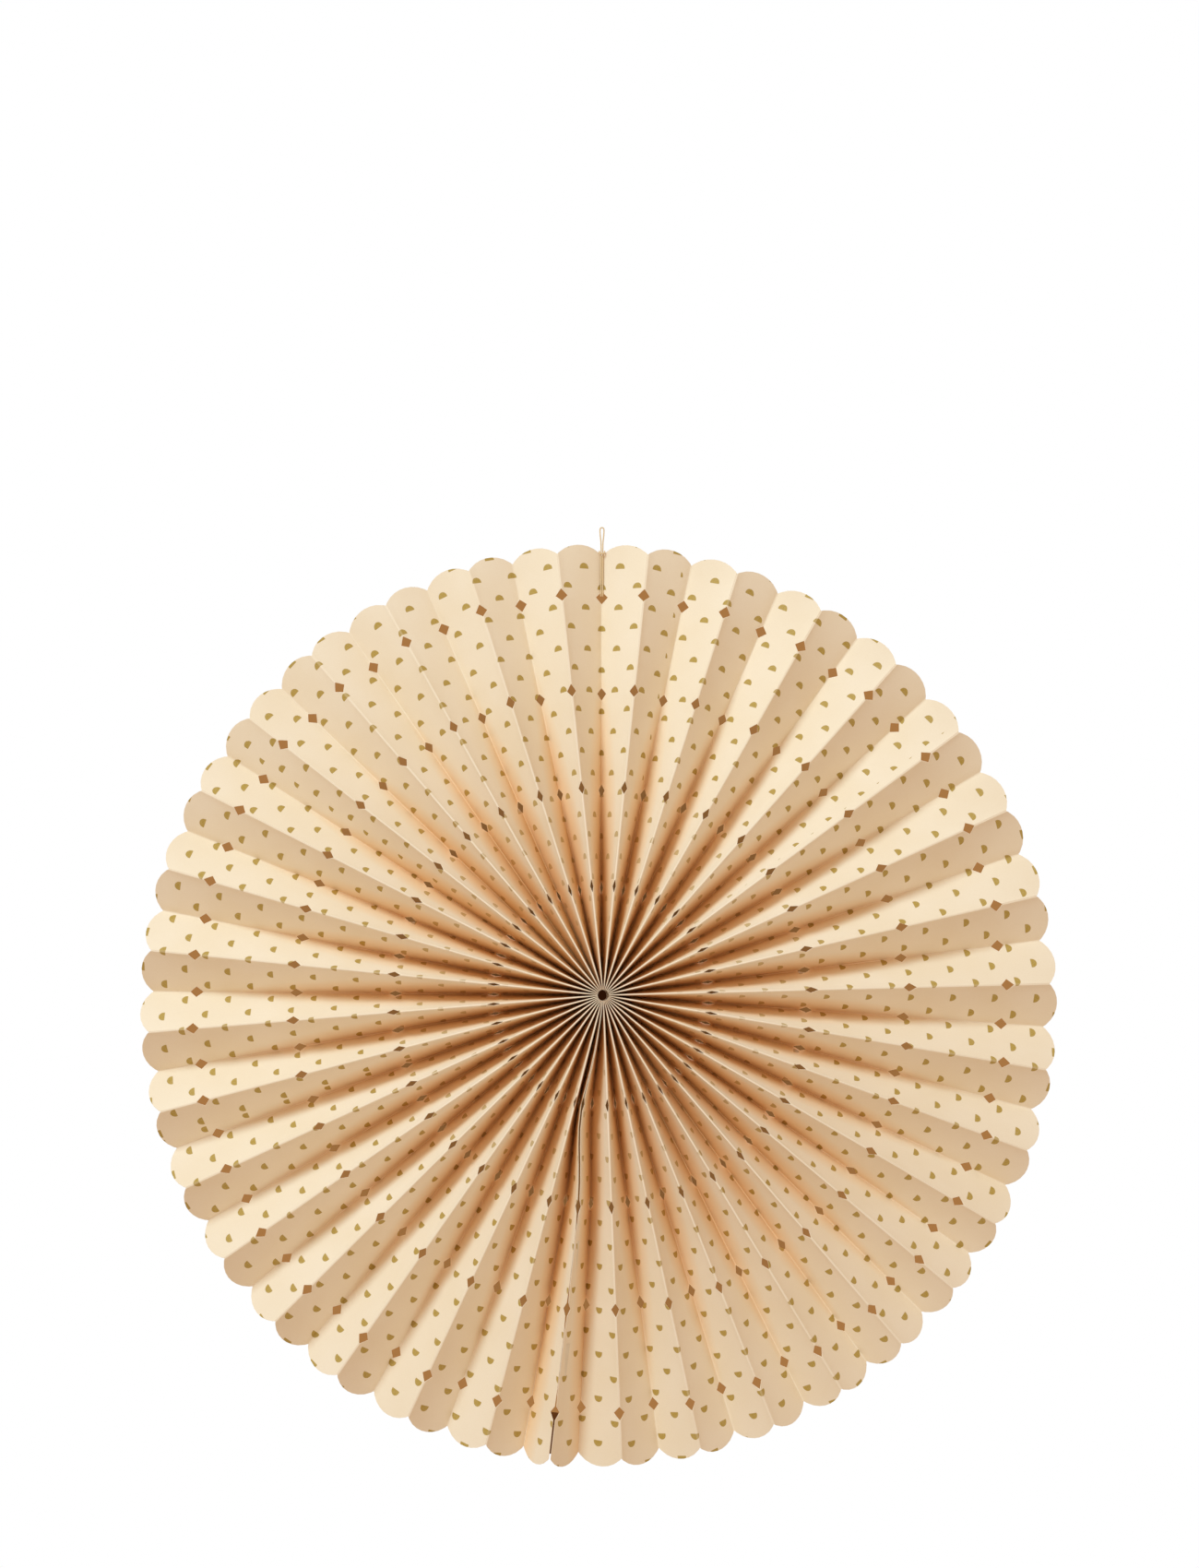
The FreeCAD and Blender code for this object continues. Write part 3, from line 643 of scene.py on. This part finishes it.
def thicken(tree, strip):
    """Thickness for the folded strip: the front moved forward, the back moved back and
    turned over, walls between. Each face is numbered 0, 1 or 2 for the three."""
    normal = add(tree, "GeometryNodeInputNormal", {})
    kept = {"Geometry": strip, "Name": "facing", "Value": normal}
    strip = add(tree, STORE, kept, data_type="FLOAT_VECTOR")
    facing = add(tree, READ, {0: "facing"}, data_type="FLOAT_VECTOR")
    front_room = add(tree, READ, {0: "front_room"}, data_type="FLOAT")
    back_room = add(tree, READ, {0: "back_room"}, data_type="FLOAT")
    both = add(tree, MATH, {0: front_room, 1: back_room}, operation="ADD")
    forward = add(tree, VECTOR, {0: facing, "Scale": front_room}, operation="SCALE")
    behind = add(tree, MATH, {0: back_room, 1: -1.0}, operation="MULTIPLY")
    backward = add(tree, VECTOR, {0: facing, "Scale": behind}, operation="SCALE")
    through = add(tree, MATH, {0: both, 1: -1.0}, operation="MULTIPLY")
    inward = add(tree, VECTOR, {0: facing, "Scale": through}, operation="SCALE")

    numbered = {"Name": "paper_side", "Value": 0}
    front = {"Geometry": strip, **numbered}
    front = add(tree, STORE, front, data_type="INT", domain="FACE")
    front = add(tree, "GeometryNodeSetPosition", {0: front, "Offset": forward})
    back = {"Geometry": strip, **numbered, "Value": 1}
    back = add(tree, STORE, back, data_type="INT", domain="FACE")
    back = add(tree, "GeometryNodeSetPosition", {0: back, "Offset": backward})
    back = add(tree, "GeometryNodeFlipFaces", {0: back})
    beside_edge = add(tree, "GeometryNodeInputMeshEdgeNeighbors", {})
    cut_edge = add(tree, MATH, {0: beside_edge, 1: 1.5}, operation="LESS_THAN")
    edges = {"Mesh": front, "Selection": cut_edge, "Offset Scale": 0.0}
    walls = add(tree, "GeometryNodeExtrudeMesh", edges, mode="EDGES")
    drawn = {0: walls.outputs["Mesh"], "Selection": walls.outputs["Top"], "Offset": inward}
    drawn = add(tree, "GeometryNodeSetPosition", drawn)
    walled = {"Geometry": drawn, "Selection": walls.outputs["Side"], **numbered, "Value": 2}
    walled = add(tree, STORE, walled, data_type="INT", domain="FACE")
    sheet = add(tree, "GeometryNodeJoinGeometry", {0: [walled, back]})
    return add(tree, "GeometryNodeMergeByDistance", {0: sheet, "Distance": EDGE_WELD * MM})


def rosette_tree(printed, plain, cut):
    """Repeats the flat panel along the strip, folds it into the rosette, gives it thickness."""
    tree = bpy.data.node_groups.new("folded rosette", "GeometryNodeTree")
    tree.interface.new_socket("Geometry", in_out="INPUT", socket_type="NodeSocketGeometry")
    for name in ROSETTE_SIZES:
        tree.interface.new_socket(name, in_out="INPUT", socket_type="NodeSocketFloat")
    tree.interface.new_socket("Geometry", in_out="OUTPUT", socket_type="NodeSocketGeometry")
    sizes = add(tree, "NodeGroupInput", {}).outputs
    width = sizes["Panel Width"]

    strip = lay_strip(tree, sizes)

    # Where each point lies in the flat strip
    place = add(tree, "GeometryNodeInputPosition", {})
    in_mm = add(tree, VECTOR, {0: place, "Scale": 1000.0}, operation="SCALE")
    kept = {"Geometry": strip, "Name": "flat_mm", "Value": in_mm}
    strip = add(tree, STORE, kept, data_type="FLOAT2", domain="CORNER")
    across, radius = add(tree, "ShaderNodeSeparateXYZ", {0: place}).outputs[:2]
    along = add(tree, MATH, {0: across, 1: width}, operation="DIVIDE")
    # The strip's last edge counts to its last panel
    last_inside = SEAM - 0.001
    kept_in = add(tree, MATH, {0: along, 1: last_inside}, operation="MINIMUM")
    panel = add(tree, MATH, {0: kept_in}, operation="FLOOR")
    share = add(tree, MATH, {0: along, 1: panel}, operation="SUBTRACT")
    next_fold = add(tree, MATH, {0: panel, 1: 1.0}, operation="ADD")

    # Folding: each point keeps its place between its panel's two folds
    left = fold_line(tree, sizes, panel, radius)
    right = fold_line(tree, sizes, next_fold, radius)
    folded = add(tree, MIX, {0: share, 4: left, 5: right}, data_type="VECTOR")
    run = add(tree, VECTOR, {0: right, 1: left}, operation="SUBTRACT")
    run_axes = add(tree, "ShaderNodeSeparateXYZ", {0: run})
    deep = add(tree, MATH, {0: run_axes.outputs[1]}, operation="ABSOLUTE")
    level = {0: run_axes.outputs[0], 1: 0.0, 2: run_axes.outputs[2]}
    wide_run = add(tree, "ShaderNodeCombineXYZ", level)
    wide = add(tree, VECTOR, {0: wide_run}, operation="LENGTH").outputs["Value"]
    lean = add(tree, MATH, {0: wide, 1: deep}, operation="DIVIDE")

    # The room for half the paper on each side, which the tight folds at the hub share out
    turn_over = add(tree, MATH, {0: panel, 1: math.pi}, operation="MULTIPLY")
    side = add(tree, MATH, {0: turn_over}, operation="COSINE")
    off_middle = add(tree, MATH, {0: share, 1: 0.5}, operation="SUBTRACT")
    signed = add(tree, MATH, {0: off_middle, 1: side}, operation="MULTIPLY")
    from_middle = add(tree, MATH, {0: along, 1: MIDDLE_FOLD}, operation="SUBTRACT")
    beside = add(tree, MATH, {0: from_middle}, operation="ABSOLUTE")
    # The two end panels, one on each side of the seam
    end_panel = add(tree, MATH, {0: beside, 1: PANELS / 2 - 1}, operation="GREATER_THAN")
    half = add(tree, MATH, {0: sizes["Paper Thickness"], 1: 0.5}, operation="MULTIPLY")
    swells = []
    # The backs of the two panels at the seam face no other panel, so they have room to spare
    for name, sign, spare in (("front", 1.0, 0.0), ("back", -1.0, end_panel)):
        from_fold = add(tree, MATH, {0: signed, 1: sign, 2: 0.5}, operation="MULTIPLY_ADD")
        distance = add(tree, MATH, {0: from_fold, 1: width}, operation="MULTIPLY")
        swell = crease_swell(tree, sizes, distance, radius)
        swells.append(swell)
        half_gap = add(tree, MATH, {0: distance, 1: lean, 2: swell}, operation="MULTIPLY_ADD")
        room = {0: half_gap, 1: ROOM_FILLED, 2: spare}
        room = add(tree, MATH, room, operation="MULTIPLY_ADD")
        room = add(tree, MATH, {0: room, 1: half}, operation="MINIMUM")
        strip = add(tree, STORE, {"Geometry": strip, "Name": f"{name}_room", "Value": room})
        # The share of sky each side sees, which sets the painted shade in the folds
        seen = pleat_openness(tree, sizes, distance, wide, deep)
        strip = add(tree, STORE, {"Geometry": strip, "Name": f"{name}_open", "Value": seen})

    # Swell and bow together. The two panels that the tabs hold have neither.
    swell = add(tree, MATH, {0: swells[1], 1: swells[0]}, operation="SUBTRACT")
    bow = panel_bow(tree, sizes, panel, share, radius)
    bow = add(tree, MATH, {0: bow, 1: swell}, operation="ADD")
    free = add(tree, MATH, {0: 1.0, 1: end_panel}, operation="SUBTRACT")
    bow = add(tree, MATH, {0: bow, 1: free}, operation="MULTIPLY")
    strip = add(tree, STORE, {"Geometry": strip, "Name": "bow", "Value": bow})
    strip = add(tree, "GeometryNodeSetPosition", {0: strip, "Position": folded.outputs[1]})
    normal = add(tree, "GeometryNodeInputNormal", {})
    bow = add(tree, READ, {0: "bow"}, data_type="FLOAT")
    lifted = add(tree, VECTOR, {0: normal, "Scale": bow}, operation="SCALE")
    strip = add(tree, "GeometryNodeSetPosition", {0: strip, "Offset": lifted})

    sheet = thicken(tree, strip)
    sheet = add(tree, "GeometryNodeRealizeInstances", {0: sheet})
    face_kind = add(tree, READ, {0: "paper_side"}, data_type="INT")
    for number, material in enumerate((printed, plain, cut)):
        chosen = add(tree, MATH, {0: face_kind, 1: number, 2: 0.1}, operation="COMPARE")
        painted = {0: sheet, "Selection": chosen, "Material": material}
        sheet = add(tree, "GeometryNodeSetMaterial", painted)
    add(tree, "NodeGroupOutput", {0: sheet})
    return tree


def pitch(even):
    """The angle between folds near the one at an even angle, in degrees."""
    parts = [
        turns * math.radians(height) * math.cos(math.radians(turns * even - lean))
        for turns, height, lean in WAVES
    ]
    return FOLD_STEP * (1 + sum(parts))


def rest_angle(even):
    """The fold's angle at the rim, but for the turn that sets the first fold at the top."""
    parts = [
        height * math.sin(math.radians(turns * even - lean)) for turns, height, lean in WAVES
    ]
    return even + sum(parts)


def rosette_sizes():
    before, after = SEAM - 1, SEAM - 1 + 2 * SEAM_SHARE
    seam_pitch = (rest_angle(FOLD_STEP * after) - rest_angle(FOLD_STEP * before)) / 2
    waves = {f"Wave {turns}": math.radians(height) for turns, height, lean in WAVES}
    leans = {f"Lean {turns}": math.radians(lean) for turns, height, lean in WAVES}
    return {
        **waves,
        **leans,
        "Panel Width": PANEL_WIDTH * MM,
        "Paper Thickness": PAPER * MM,
        "Rim Radius": RIM_RADIUS * MM,
        "Fold Step": math.radians(FOLD_STEP),
        "First End": SEAM - PANELS + 1 - SEAM_SHARE,
        "Last End": SEAM - 1 + SEAM_SHARE,
        "Turn": math.radians(-rest_angle(0)),
        "Seam Lean": math.radians(SEAM_LEAN),
        "Sway": math.radians(SEAM_SWAY),
        "Sway Radius": SEAM_SWAY_RADIUS * MM,
        "Sway Reach": SEAM_SWAY_REACH * MM,
        "Seam Stop": PAPER / 2 * MM,
        "Seam Valley Reach": 2 * math.sin(math.radians(pitch(FOLD_STEP * before) / 2)),
        "Seam Panel Reach": 2 * math.sin(math.radians(seam_pitch / 2)),
        "Crease Swell": CREASE_SWELL * MM,
        "Crease Reach": CREASE_REACH * MM,
        "Crease Growth": CREASE_GROWTH * MM,
        "Bow": BOW * MM,
        "Bow Length": BOW_LENGTH * MM,
        "Seed": 3.0,
    }


WIDEST_PITCH = max(pitch(FOLD_STEP * fold) for fold in range(SEAM))
PANEL_WIDTH = math.hypot(2 * RIM_RADIUS * math.sin(math.radians(WIDEST_PITCH / 2)), RIM_DEPTH)
ROSETTE_SIZES = rosette_sizes()


def plain_mesh(data, tree, values):
    """What a Geometry Nodes tree makes of a mesh or curve, as a plain mesh."""
    source = add_object("source", data)
    modifier = source.modifiers.new("nodes", "NODES")
    modifier.node_group = tree
    for socket in tree.interface.items_tree:
        if socket.in_out == "INPUT" and socket.name in values:
            modifier[socket.identifier] = values[socket.name]
    evaluated = source.evaluated_get(bpy.context.evaluated_depsgraph_get())
    mesh = bpy.data.meshes.new_from_object(evaluated)
    bpy.data.objects.remove(source)
    return mesh


def add_object(name, data):
    item = bpy.data.objects.new(name, data)
    bpy.context.scene.collection.objects.link(item)
    return item


def make_pleated_sheet():
    paints = make_printed_paper(), make_plain_paper(), make_cut_paper()
    mesh = plain_mesh(flat_panel(), rosette_tree(*paints), ROSETTE_SIZES)
    mesh.transform(Matrix.Translation(HUB))
    mesh.shade_smooth()
    mesh.set_sharp_from_angle(angle=math.radians(SHARP_FOLD))
    piece = add_object("pleated_sheet", mesh)
    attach(piece, "root")
    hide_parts("pleated_paper")
    mesh.calc_loop_triangles()
    print("pleated sheet triangles:", len(mesh.loop_triangles))


# The threads


def thread_tree(cotton):
    """A three-ply thread round its path, its plies turning once in each lay length."""
    tree = bpy.data.node_groups.new("spun thread", "GeometryNodeTree")
    tree.interface.new_socket("Geometry", in_out="INPUT", socket_type="NodeSocketGeometry")
    for name in ("Diameter", "Lay", "Ply Relief", "Ring Spacing"):
        tree.interface.new_socket(name, in_out="INPUT", socket_type="NodeSocketFloat")
    tree.interface.new_socket("Geometry", in_out="OUTPUT", socket_type="NodeSocketGeometry")
    sizes = add(tree, "NodeGroupInput", {}).outputs
    spaced = {"Curve": sizes["Geometry"], "Length": sizes["Ring Spacing"]}
    path = add(tree, "GeometryNodeResampleCurve", spaced, mode="LENGTH")
    done = add(tree, "GeometryNodeSplineParameter", {}).outputs["Length"]
    turns = add(tree, MATH, {0: done, 1: sizes["Lay"]}, operation="DIVIDE")
    tilt = add(tree, MATH, {0: turns, 1: 2 * math.pi}, operation="MULTIPLY")
    path = add(tree, "GeometryNodeSetCurveTilt", {"Curve": path, "Tilt": tilt})

    circle = {"Resolution": THREAD_RING_POINTS, "Radius": 1.0}
    section = add(tree, "GeometryNodeCurvePrimitiveCircle", circle, mode="RADIUS")
    round_it = add(tree, "GeometryNodeSplineParameter", {}).outputs["Factor"]
    lobes = add(tree, MATH, {0: round_it, 1: 2 * PLIES * math.pi}, operation="MULTIPLY")
    lobes = add(tree, MATH, {0: lobes}, operation="COSINE")
    dent = add(tree, MATH, {0: lobes, 1: -1.0}, operation="ADD")
    swell = add(tree, MATH, {0: dent, 1: sizes["Ply Relief"], 2: 1.0}, operation="MULTIPLY_ADD")
    scale = add(tree, MATH, {0: swell, 1: sizes["Diameter"]}, operation="MULTIPLY")
    half = add(tree, MATH, {0: scale, 1: 0.5}, operation="MULTIPLY")
    place = add(tree, "GeometryNodeInputPosition", {})
    grown = add(tree, VECTOR, {0: place, "Scale": half}, operation="SCALE")
    section = add(tree, "GeometryNodeSetPosition", {0: section, "Position": grown})

    drawn = {"Curve": path, "Profile Curve": section, "Fill Caps": True}
    thread = add(tree, "GeometryNodeCurveToMesh", drawn)
    thread = add(tree, "GeometryNodeRealizeInstances", {0: thread})
    thread = add(tree, "GeometryNodeSetMaterial", {0: thread, "Material": cotton})
    add(tree, "NodeGroupOutput", {0: thread})
    return tree


def hang_points():
    """The whole loop, from the knot round and back to the knot."""
    right = [Vector(point) for point in HANG_ROUTE]
    left = [Vector((-x, y, z)) for x, y, z in reversed(HANG_ROUTE)]
    knot = len(right) + len(left) - 1 - KNOT_POINT
    loop = right + left
    return [HUB + point * MM for point in loop[knot:] + loop[: knot + 1]]


def nurbs_line(name, points, painted_shade=False):
    curve = bpy.data.curves.new(name, "CURVE")
    curve.dimensions = "3D"
    spline = curve.splines.new("NURBS")
    spline.points.add(len(points) - 1)
    for target, point in zip(spline.points, points):
        target.co = (*point, 1.0)
    spline.order_u = 3
    spline.use_endpoint_u = not painted_shade
    spline.use_cyclic_u = painted_shade
    spline.resolution_u = 12
    return curve


def points_on(curve):
    """Points along the curve's own line."""
    probe = add_object("probe", curve)
    mesh = bpy.data.meshes.new_from_object(probe)
    points = [vertex.co.copy() for vertex in mesh.vertices]
    bpy.data.meshes.remove(mesh)
    bpy.data.objects.remove(probe)
    return points


def make_thread(name, curve, tree, diameter):
    sizes = {
        "Diameter": diameter,
        "Lay": THREAD_LAY,
        "Ply Relief": THREAD_RELIEF,
        "Ring Spacing": THREAD_RING_SPACING,
    }
    mesh = plain_mesh(curve, tree, sizes)
    mesh.shade_smooth()
    thread = add_object(name, mesh)
    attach(thread, "root")
    return thread


def make_hanging_thread(tree):
    points = hang_points()
    curve = nurbs_line("hanging_route", points)
    path = points_on(curve)
    thread = make_thread("hanging_cord", curve, tree, THREAD_DIAMETER)
    knot = make_knot(points[0], tree)
    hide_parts("hanging_thread")


def make_knot(place, tree):
    """The small overhand knot that closes the loop, behind the top fold: a trefoil."""
    points = []
    steps = 24
    for step in range(steps):
        angle = 2 * math.pi * step / steps
        reach = KNOT_LOOP + KNOT_WEAVE * math.cos(3 * angle)
        across, up = reach * math.cos(2 * angle), reach * math.sin(2 * angle)
        points.append(place + Vector((across, KNOT_WEAVE * math.sin(3 * angle), up)) * MM)
    curve = nurbs_line("knot_route", points, painted_shade=True)
    return make_thread("hanging_knot", curve, tree, THREAD_DIAMETER * KNOT_DRAWN)


def make_gathering_thread(tree):
    """The ring of thread through every panel, which draws the hub together. Its points lie
    a little outside the ring that the curve makes of them."""
    steps = 48
    reach = GATHER_RADIUS / math.cos(math.pi / steps)
    angles = [2 * math.pi * step / steps for step in range(steps)]
    points = [HUB + reach * MM * Vector((math.sin(a), 0, math.cos(a))) for a in angles]
    curve = nurbs_line("gathering_route", points, painted_shade=True)
    ring = make_thread("gathering_ring", curve, tree, THREAD_DIAMETER)
    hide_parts("gathering_thread")


# Stage: the painted shade of the wall that shows through the cut-outs, lights and background


def make_shade(name, inner, outer):
    """A plain shaded tone, lighter outwards, that only the camera sees, from the front. It
    lights nothing."""
    material, tree = new_material(name)
    place = add(tree, "ShaderNodeTexCoord", {}).outputs["Object"]
    from_hub = add(tree, VECTOR, {0: place, 1: HUB}, operation="SUBTRACT")
    reach = add(tree, VECTOR, {0: from_hub}, operation="LENGTH").outputs["Value"]
    low, high = PATCH_SHADE_RADII
    light = add(tree, RAMP, {VALUE: reach, FROM_LOW: low * MM, FROM_HIGH: high * MM})
    tones = {FACTOR: light, FIRST: linear(inner), SECOND: linear(outer)}
    tone = add(tree, MIX, tones, data_type="RGBA").outputs[2]
    dark = add(tree, "ShaderNodeEmission", {"Color": tone, "Strength": 1.0})
    clear = add(tree, "ShaderNodeBsdfTransparent", {})
    from_behind = add(tree, "ShaderNodeNewGeometry", {}).outputs["Backfacing"]
    camera_ray = add(tree, "ShaderNodeLightPath", {}).outputs["Is Camera Ray"]
    seen = add(tree, MATH, {0: camera_ray, 1: from_behind}, operation="SUBTRACT")
    mixed = add(tree, "ShaderNodeMixShader", {0: seen, 1: clear, 2: dark})
    add(tree, "ShaderNodeOutputMaterial", {"Surface": mixed})
    return material


def ring_of_points(mesh, radius, depth):
    """Points round the hub, at a depth behind its middle."""
    points = []
    for segment in range(PATCH_SEGMENTS):
        angle = 2 * math.pi * segment / PATCH_SEGMENTS
        place = Vector((radius * math.sin(angle), depth, radius * math.cos(angle)))
        points.append(mesh.verts.new(HUB + place * MM))
    return points


def add_tongue(mesh):
    """The narrow strip of shade inside the seam's fold, where it gapes at the rim."""
    seam_step = FOLD_STEP * (SEAM - 1 + SEAM_SHARE)
    angle = math.radians(rest_angle(seam_step) - rest_angle(0) + SEAM_LEAN)
    out = Vector((math.sin(angle), 0, math.cos(angle)))
    side = Vector((math.cos(angle), 0, -math.sin(angle))) * TONGUE_HALF
    deep = Vector((0, TONGUE_DEPTH, 0))
    start, end = (deep + out * radius for radius in TONGUE_RADII)
    corners = (start - side, start + side, end + side, end - side)
    tongue = mesh.faces.new([mesh.verts.new(HUB + corner * MM) for corner in corners])
    tongue.material_index = 1


def make_painted_wall_shade():
    """The painted shade behind the cut-outs: rings close behind the pleats, tilted a little
    towards the hub, so that a view from above or from the side sees next to nothing of them."""
    mesh = bmesh.new()
    tightest = min(pitch(FOLD_STEP * fold) for fold in range(SEAM))
    for radius in np.arange(PATCH_RADIUS, PATCH_RING, -PATCH_RING):
        half_chord = radius * math.sin(math.radians(tightest / 2))
        depth = math.sqrt((PANEL_WIDTH / 2) ** 2 - half_chord**2) + PATCH_BEHIND
        inner = ring_of_points(mesh, radius - PATCH_RING, depth + PATCH_TILT)
        outer = ring_of_points(mesh, radius, depth)
        for i in range(PATCH_SEGMENTS):
            j = (i + 1) % PATCH_SEGMENTS
            mesh.faces.new([inner[i], inner[j], outer[j], outer[i]])
    mesh.faces.new(reversed(inner))
    add_tongue(mesh)
    mesh.normal_update()
    for face in mesh.faces:
        if face.normal.y > 0:
            face.normal_flip()
    data = bpy.data.meshes.new("painted_wall_shade")
    mesh.to_mesh(data)
    mesh.free()
    # Painted shade, dark at the hub and lighter outwards, in place of the wall seen through the
    # cut-outs
    data.materials.append(make_shade("wall in shade", "2A1206", "A87644"))
    data.materials.append(make_shade("shade inside the seam", "4A2810", "5C3418"))
    add_object("painted_wall_shade", data)


def add_lamp(name, offset, size, power, colour):
    """A round soft lamp aimed at the hub."""
    data = bpy.data.lights.new(name, "AREA")
    data.shape = "DISK"
    data.size = size
    data.energy = power
    data.color = linear(colour)[:3]
    lamp = add_object(name, data)
    lamp.location = HUB + Vector(offset)
    lamp.rotation_euler = (-Vector(offset)).to_track_quat("-Z", "Y").to_euler()


def make_world():
    """White background for the camera, a dimmer warm white for all other rays."""
    world = bpy.data.worlds.new("studio")
    bpy.context.scene.world = world
    world.use_nodes = True
    tree = world.node_tree
    tree.nodes.clear()
    path = add(tree, "ShaderNodeLightPath", {})
    rays = {0: path.outputs["Is Camera Ray"], 1: path.outputs["Is Glossy Ray"]}
    seen = add(tree, MATH, rays, operation="MAXIMUM")
    seen = add(tree, MATH, {0: seen, 1: path.outputs["Is Transmission Ray"]}, operation="MAXIMUM")
    white = add(tree, "ShaderNodeBackground", {"Color": (1, 1, 1, 1), "Strength": 1.0})
    dim = {"Color": linear("FFE1C5"), "Strength": FILL_LIGHT}
    dim = add(tree, "ShaderNodeBackground", dim)
    mixed = add(tree, "ShaderNodeMixShader", {0: seen, 1: dim, 2: white})
    add(tree, "ShaderNodeOutputWorld", {"Surface": mixed})
    bpy.context.scene.view_settings.view_transform = "Standard"


def paint_node(name, material):
    """Gives a solid that stays as it is its material."""
    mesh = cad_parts[name].data
    mesh.materials.clear()
    mesh.materials.append(material)


def main():
    add_camera()
    spun = thread_tree(make_cotton())
    make_hanging_thread(spun)
    make_gathering_thread(spun)
    make_pleated_sheet()
    tab_paper = make_tab_paper()
    paint_node("seam_tab_inner", tab_paper)
    paint_node("seam_tab_outer", tab_paper)
    make_painted_wall_shade()
    add_lamp("key", offset=(-0.95, -1.4, 1.45), size=0.7, power=26.5, colour="DEF7FF")
    add_lamp("back", offset=(0.6, 1.9, 0.9), size=1.4, power=18, colour="FFFFFF")
    make_world()


main()
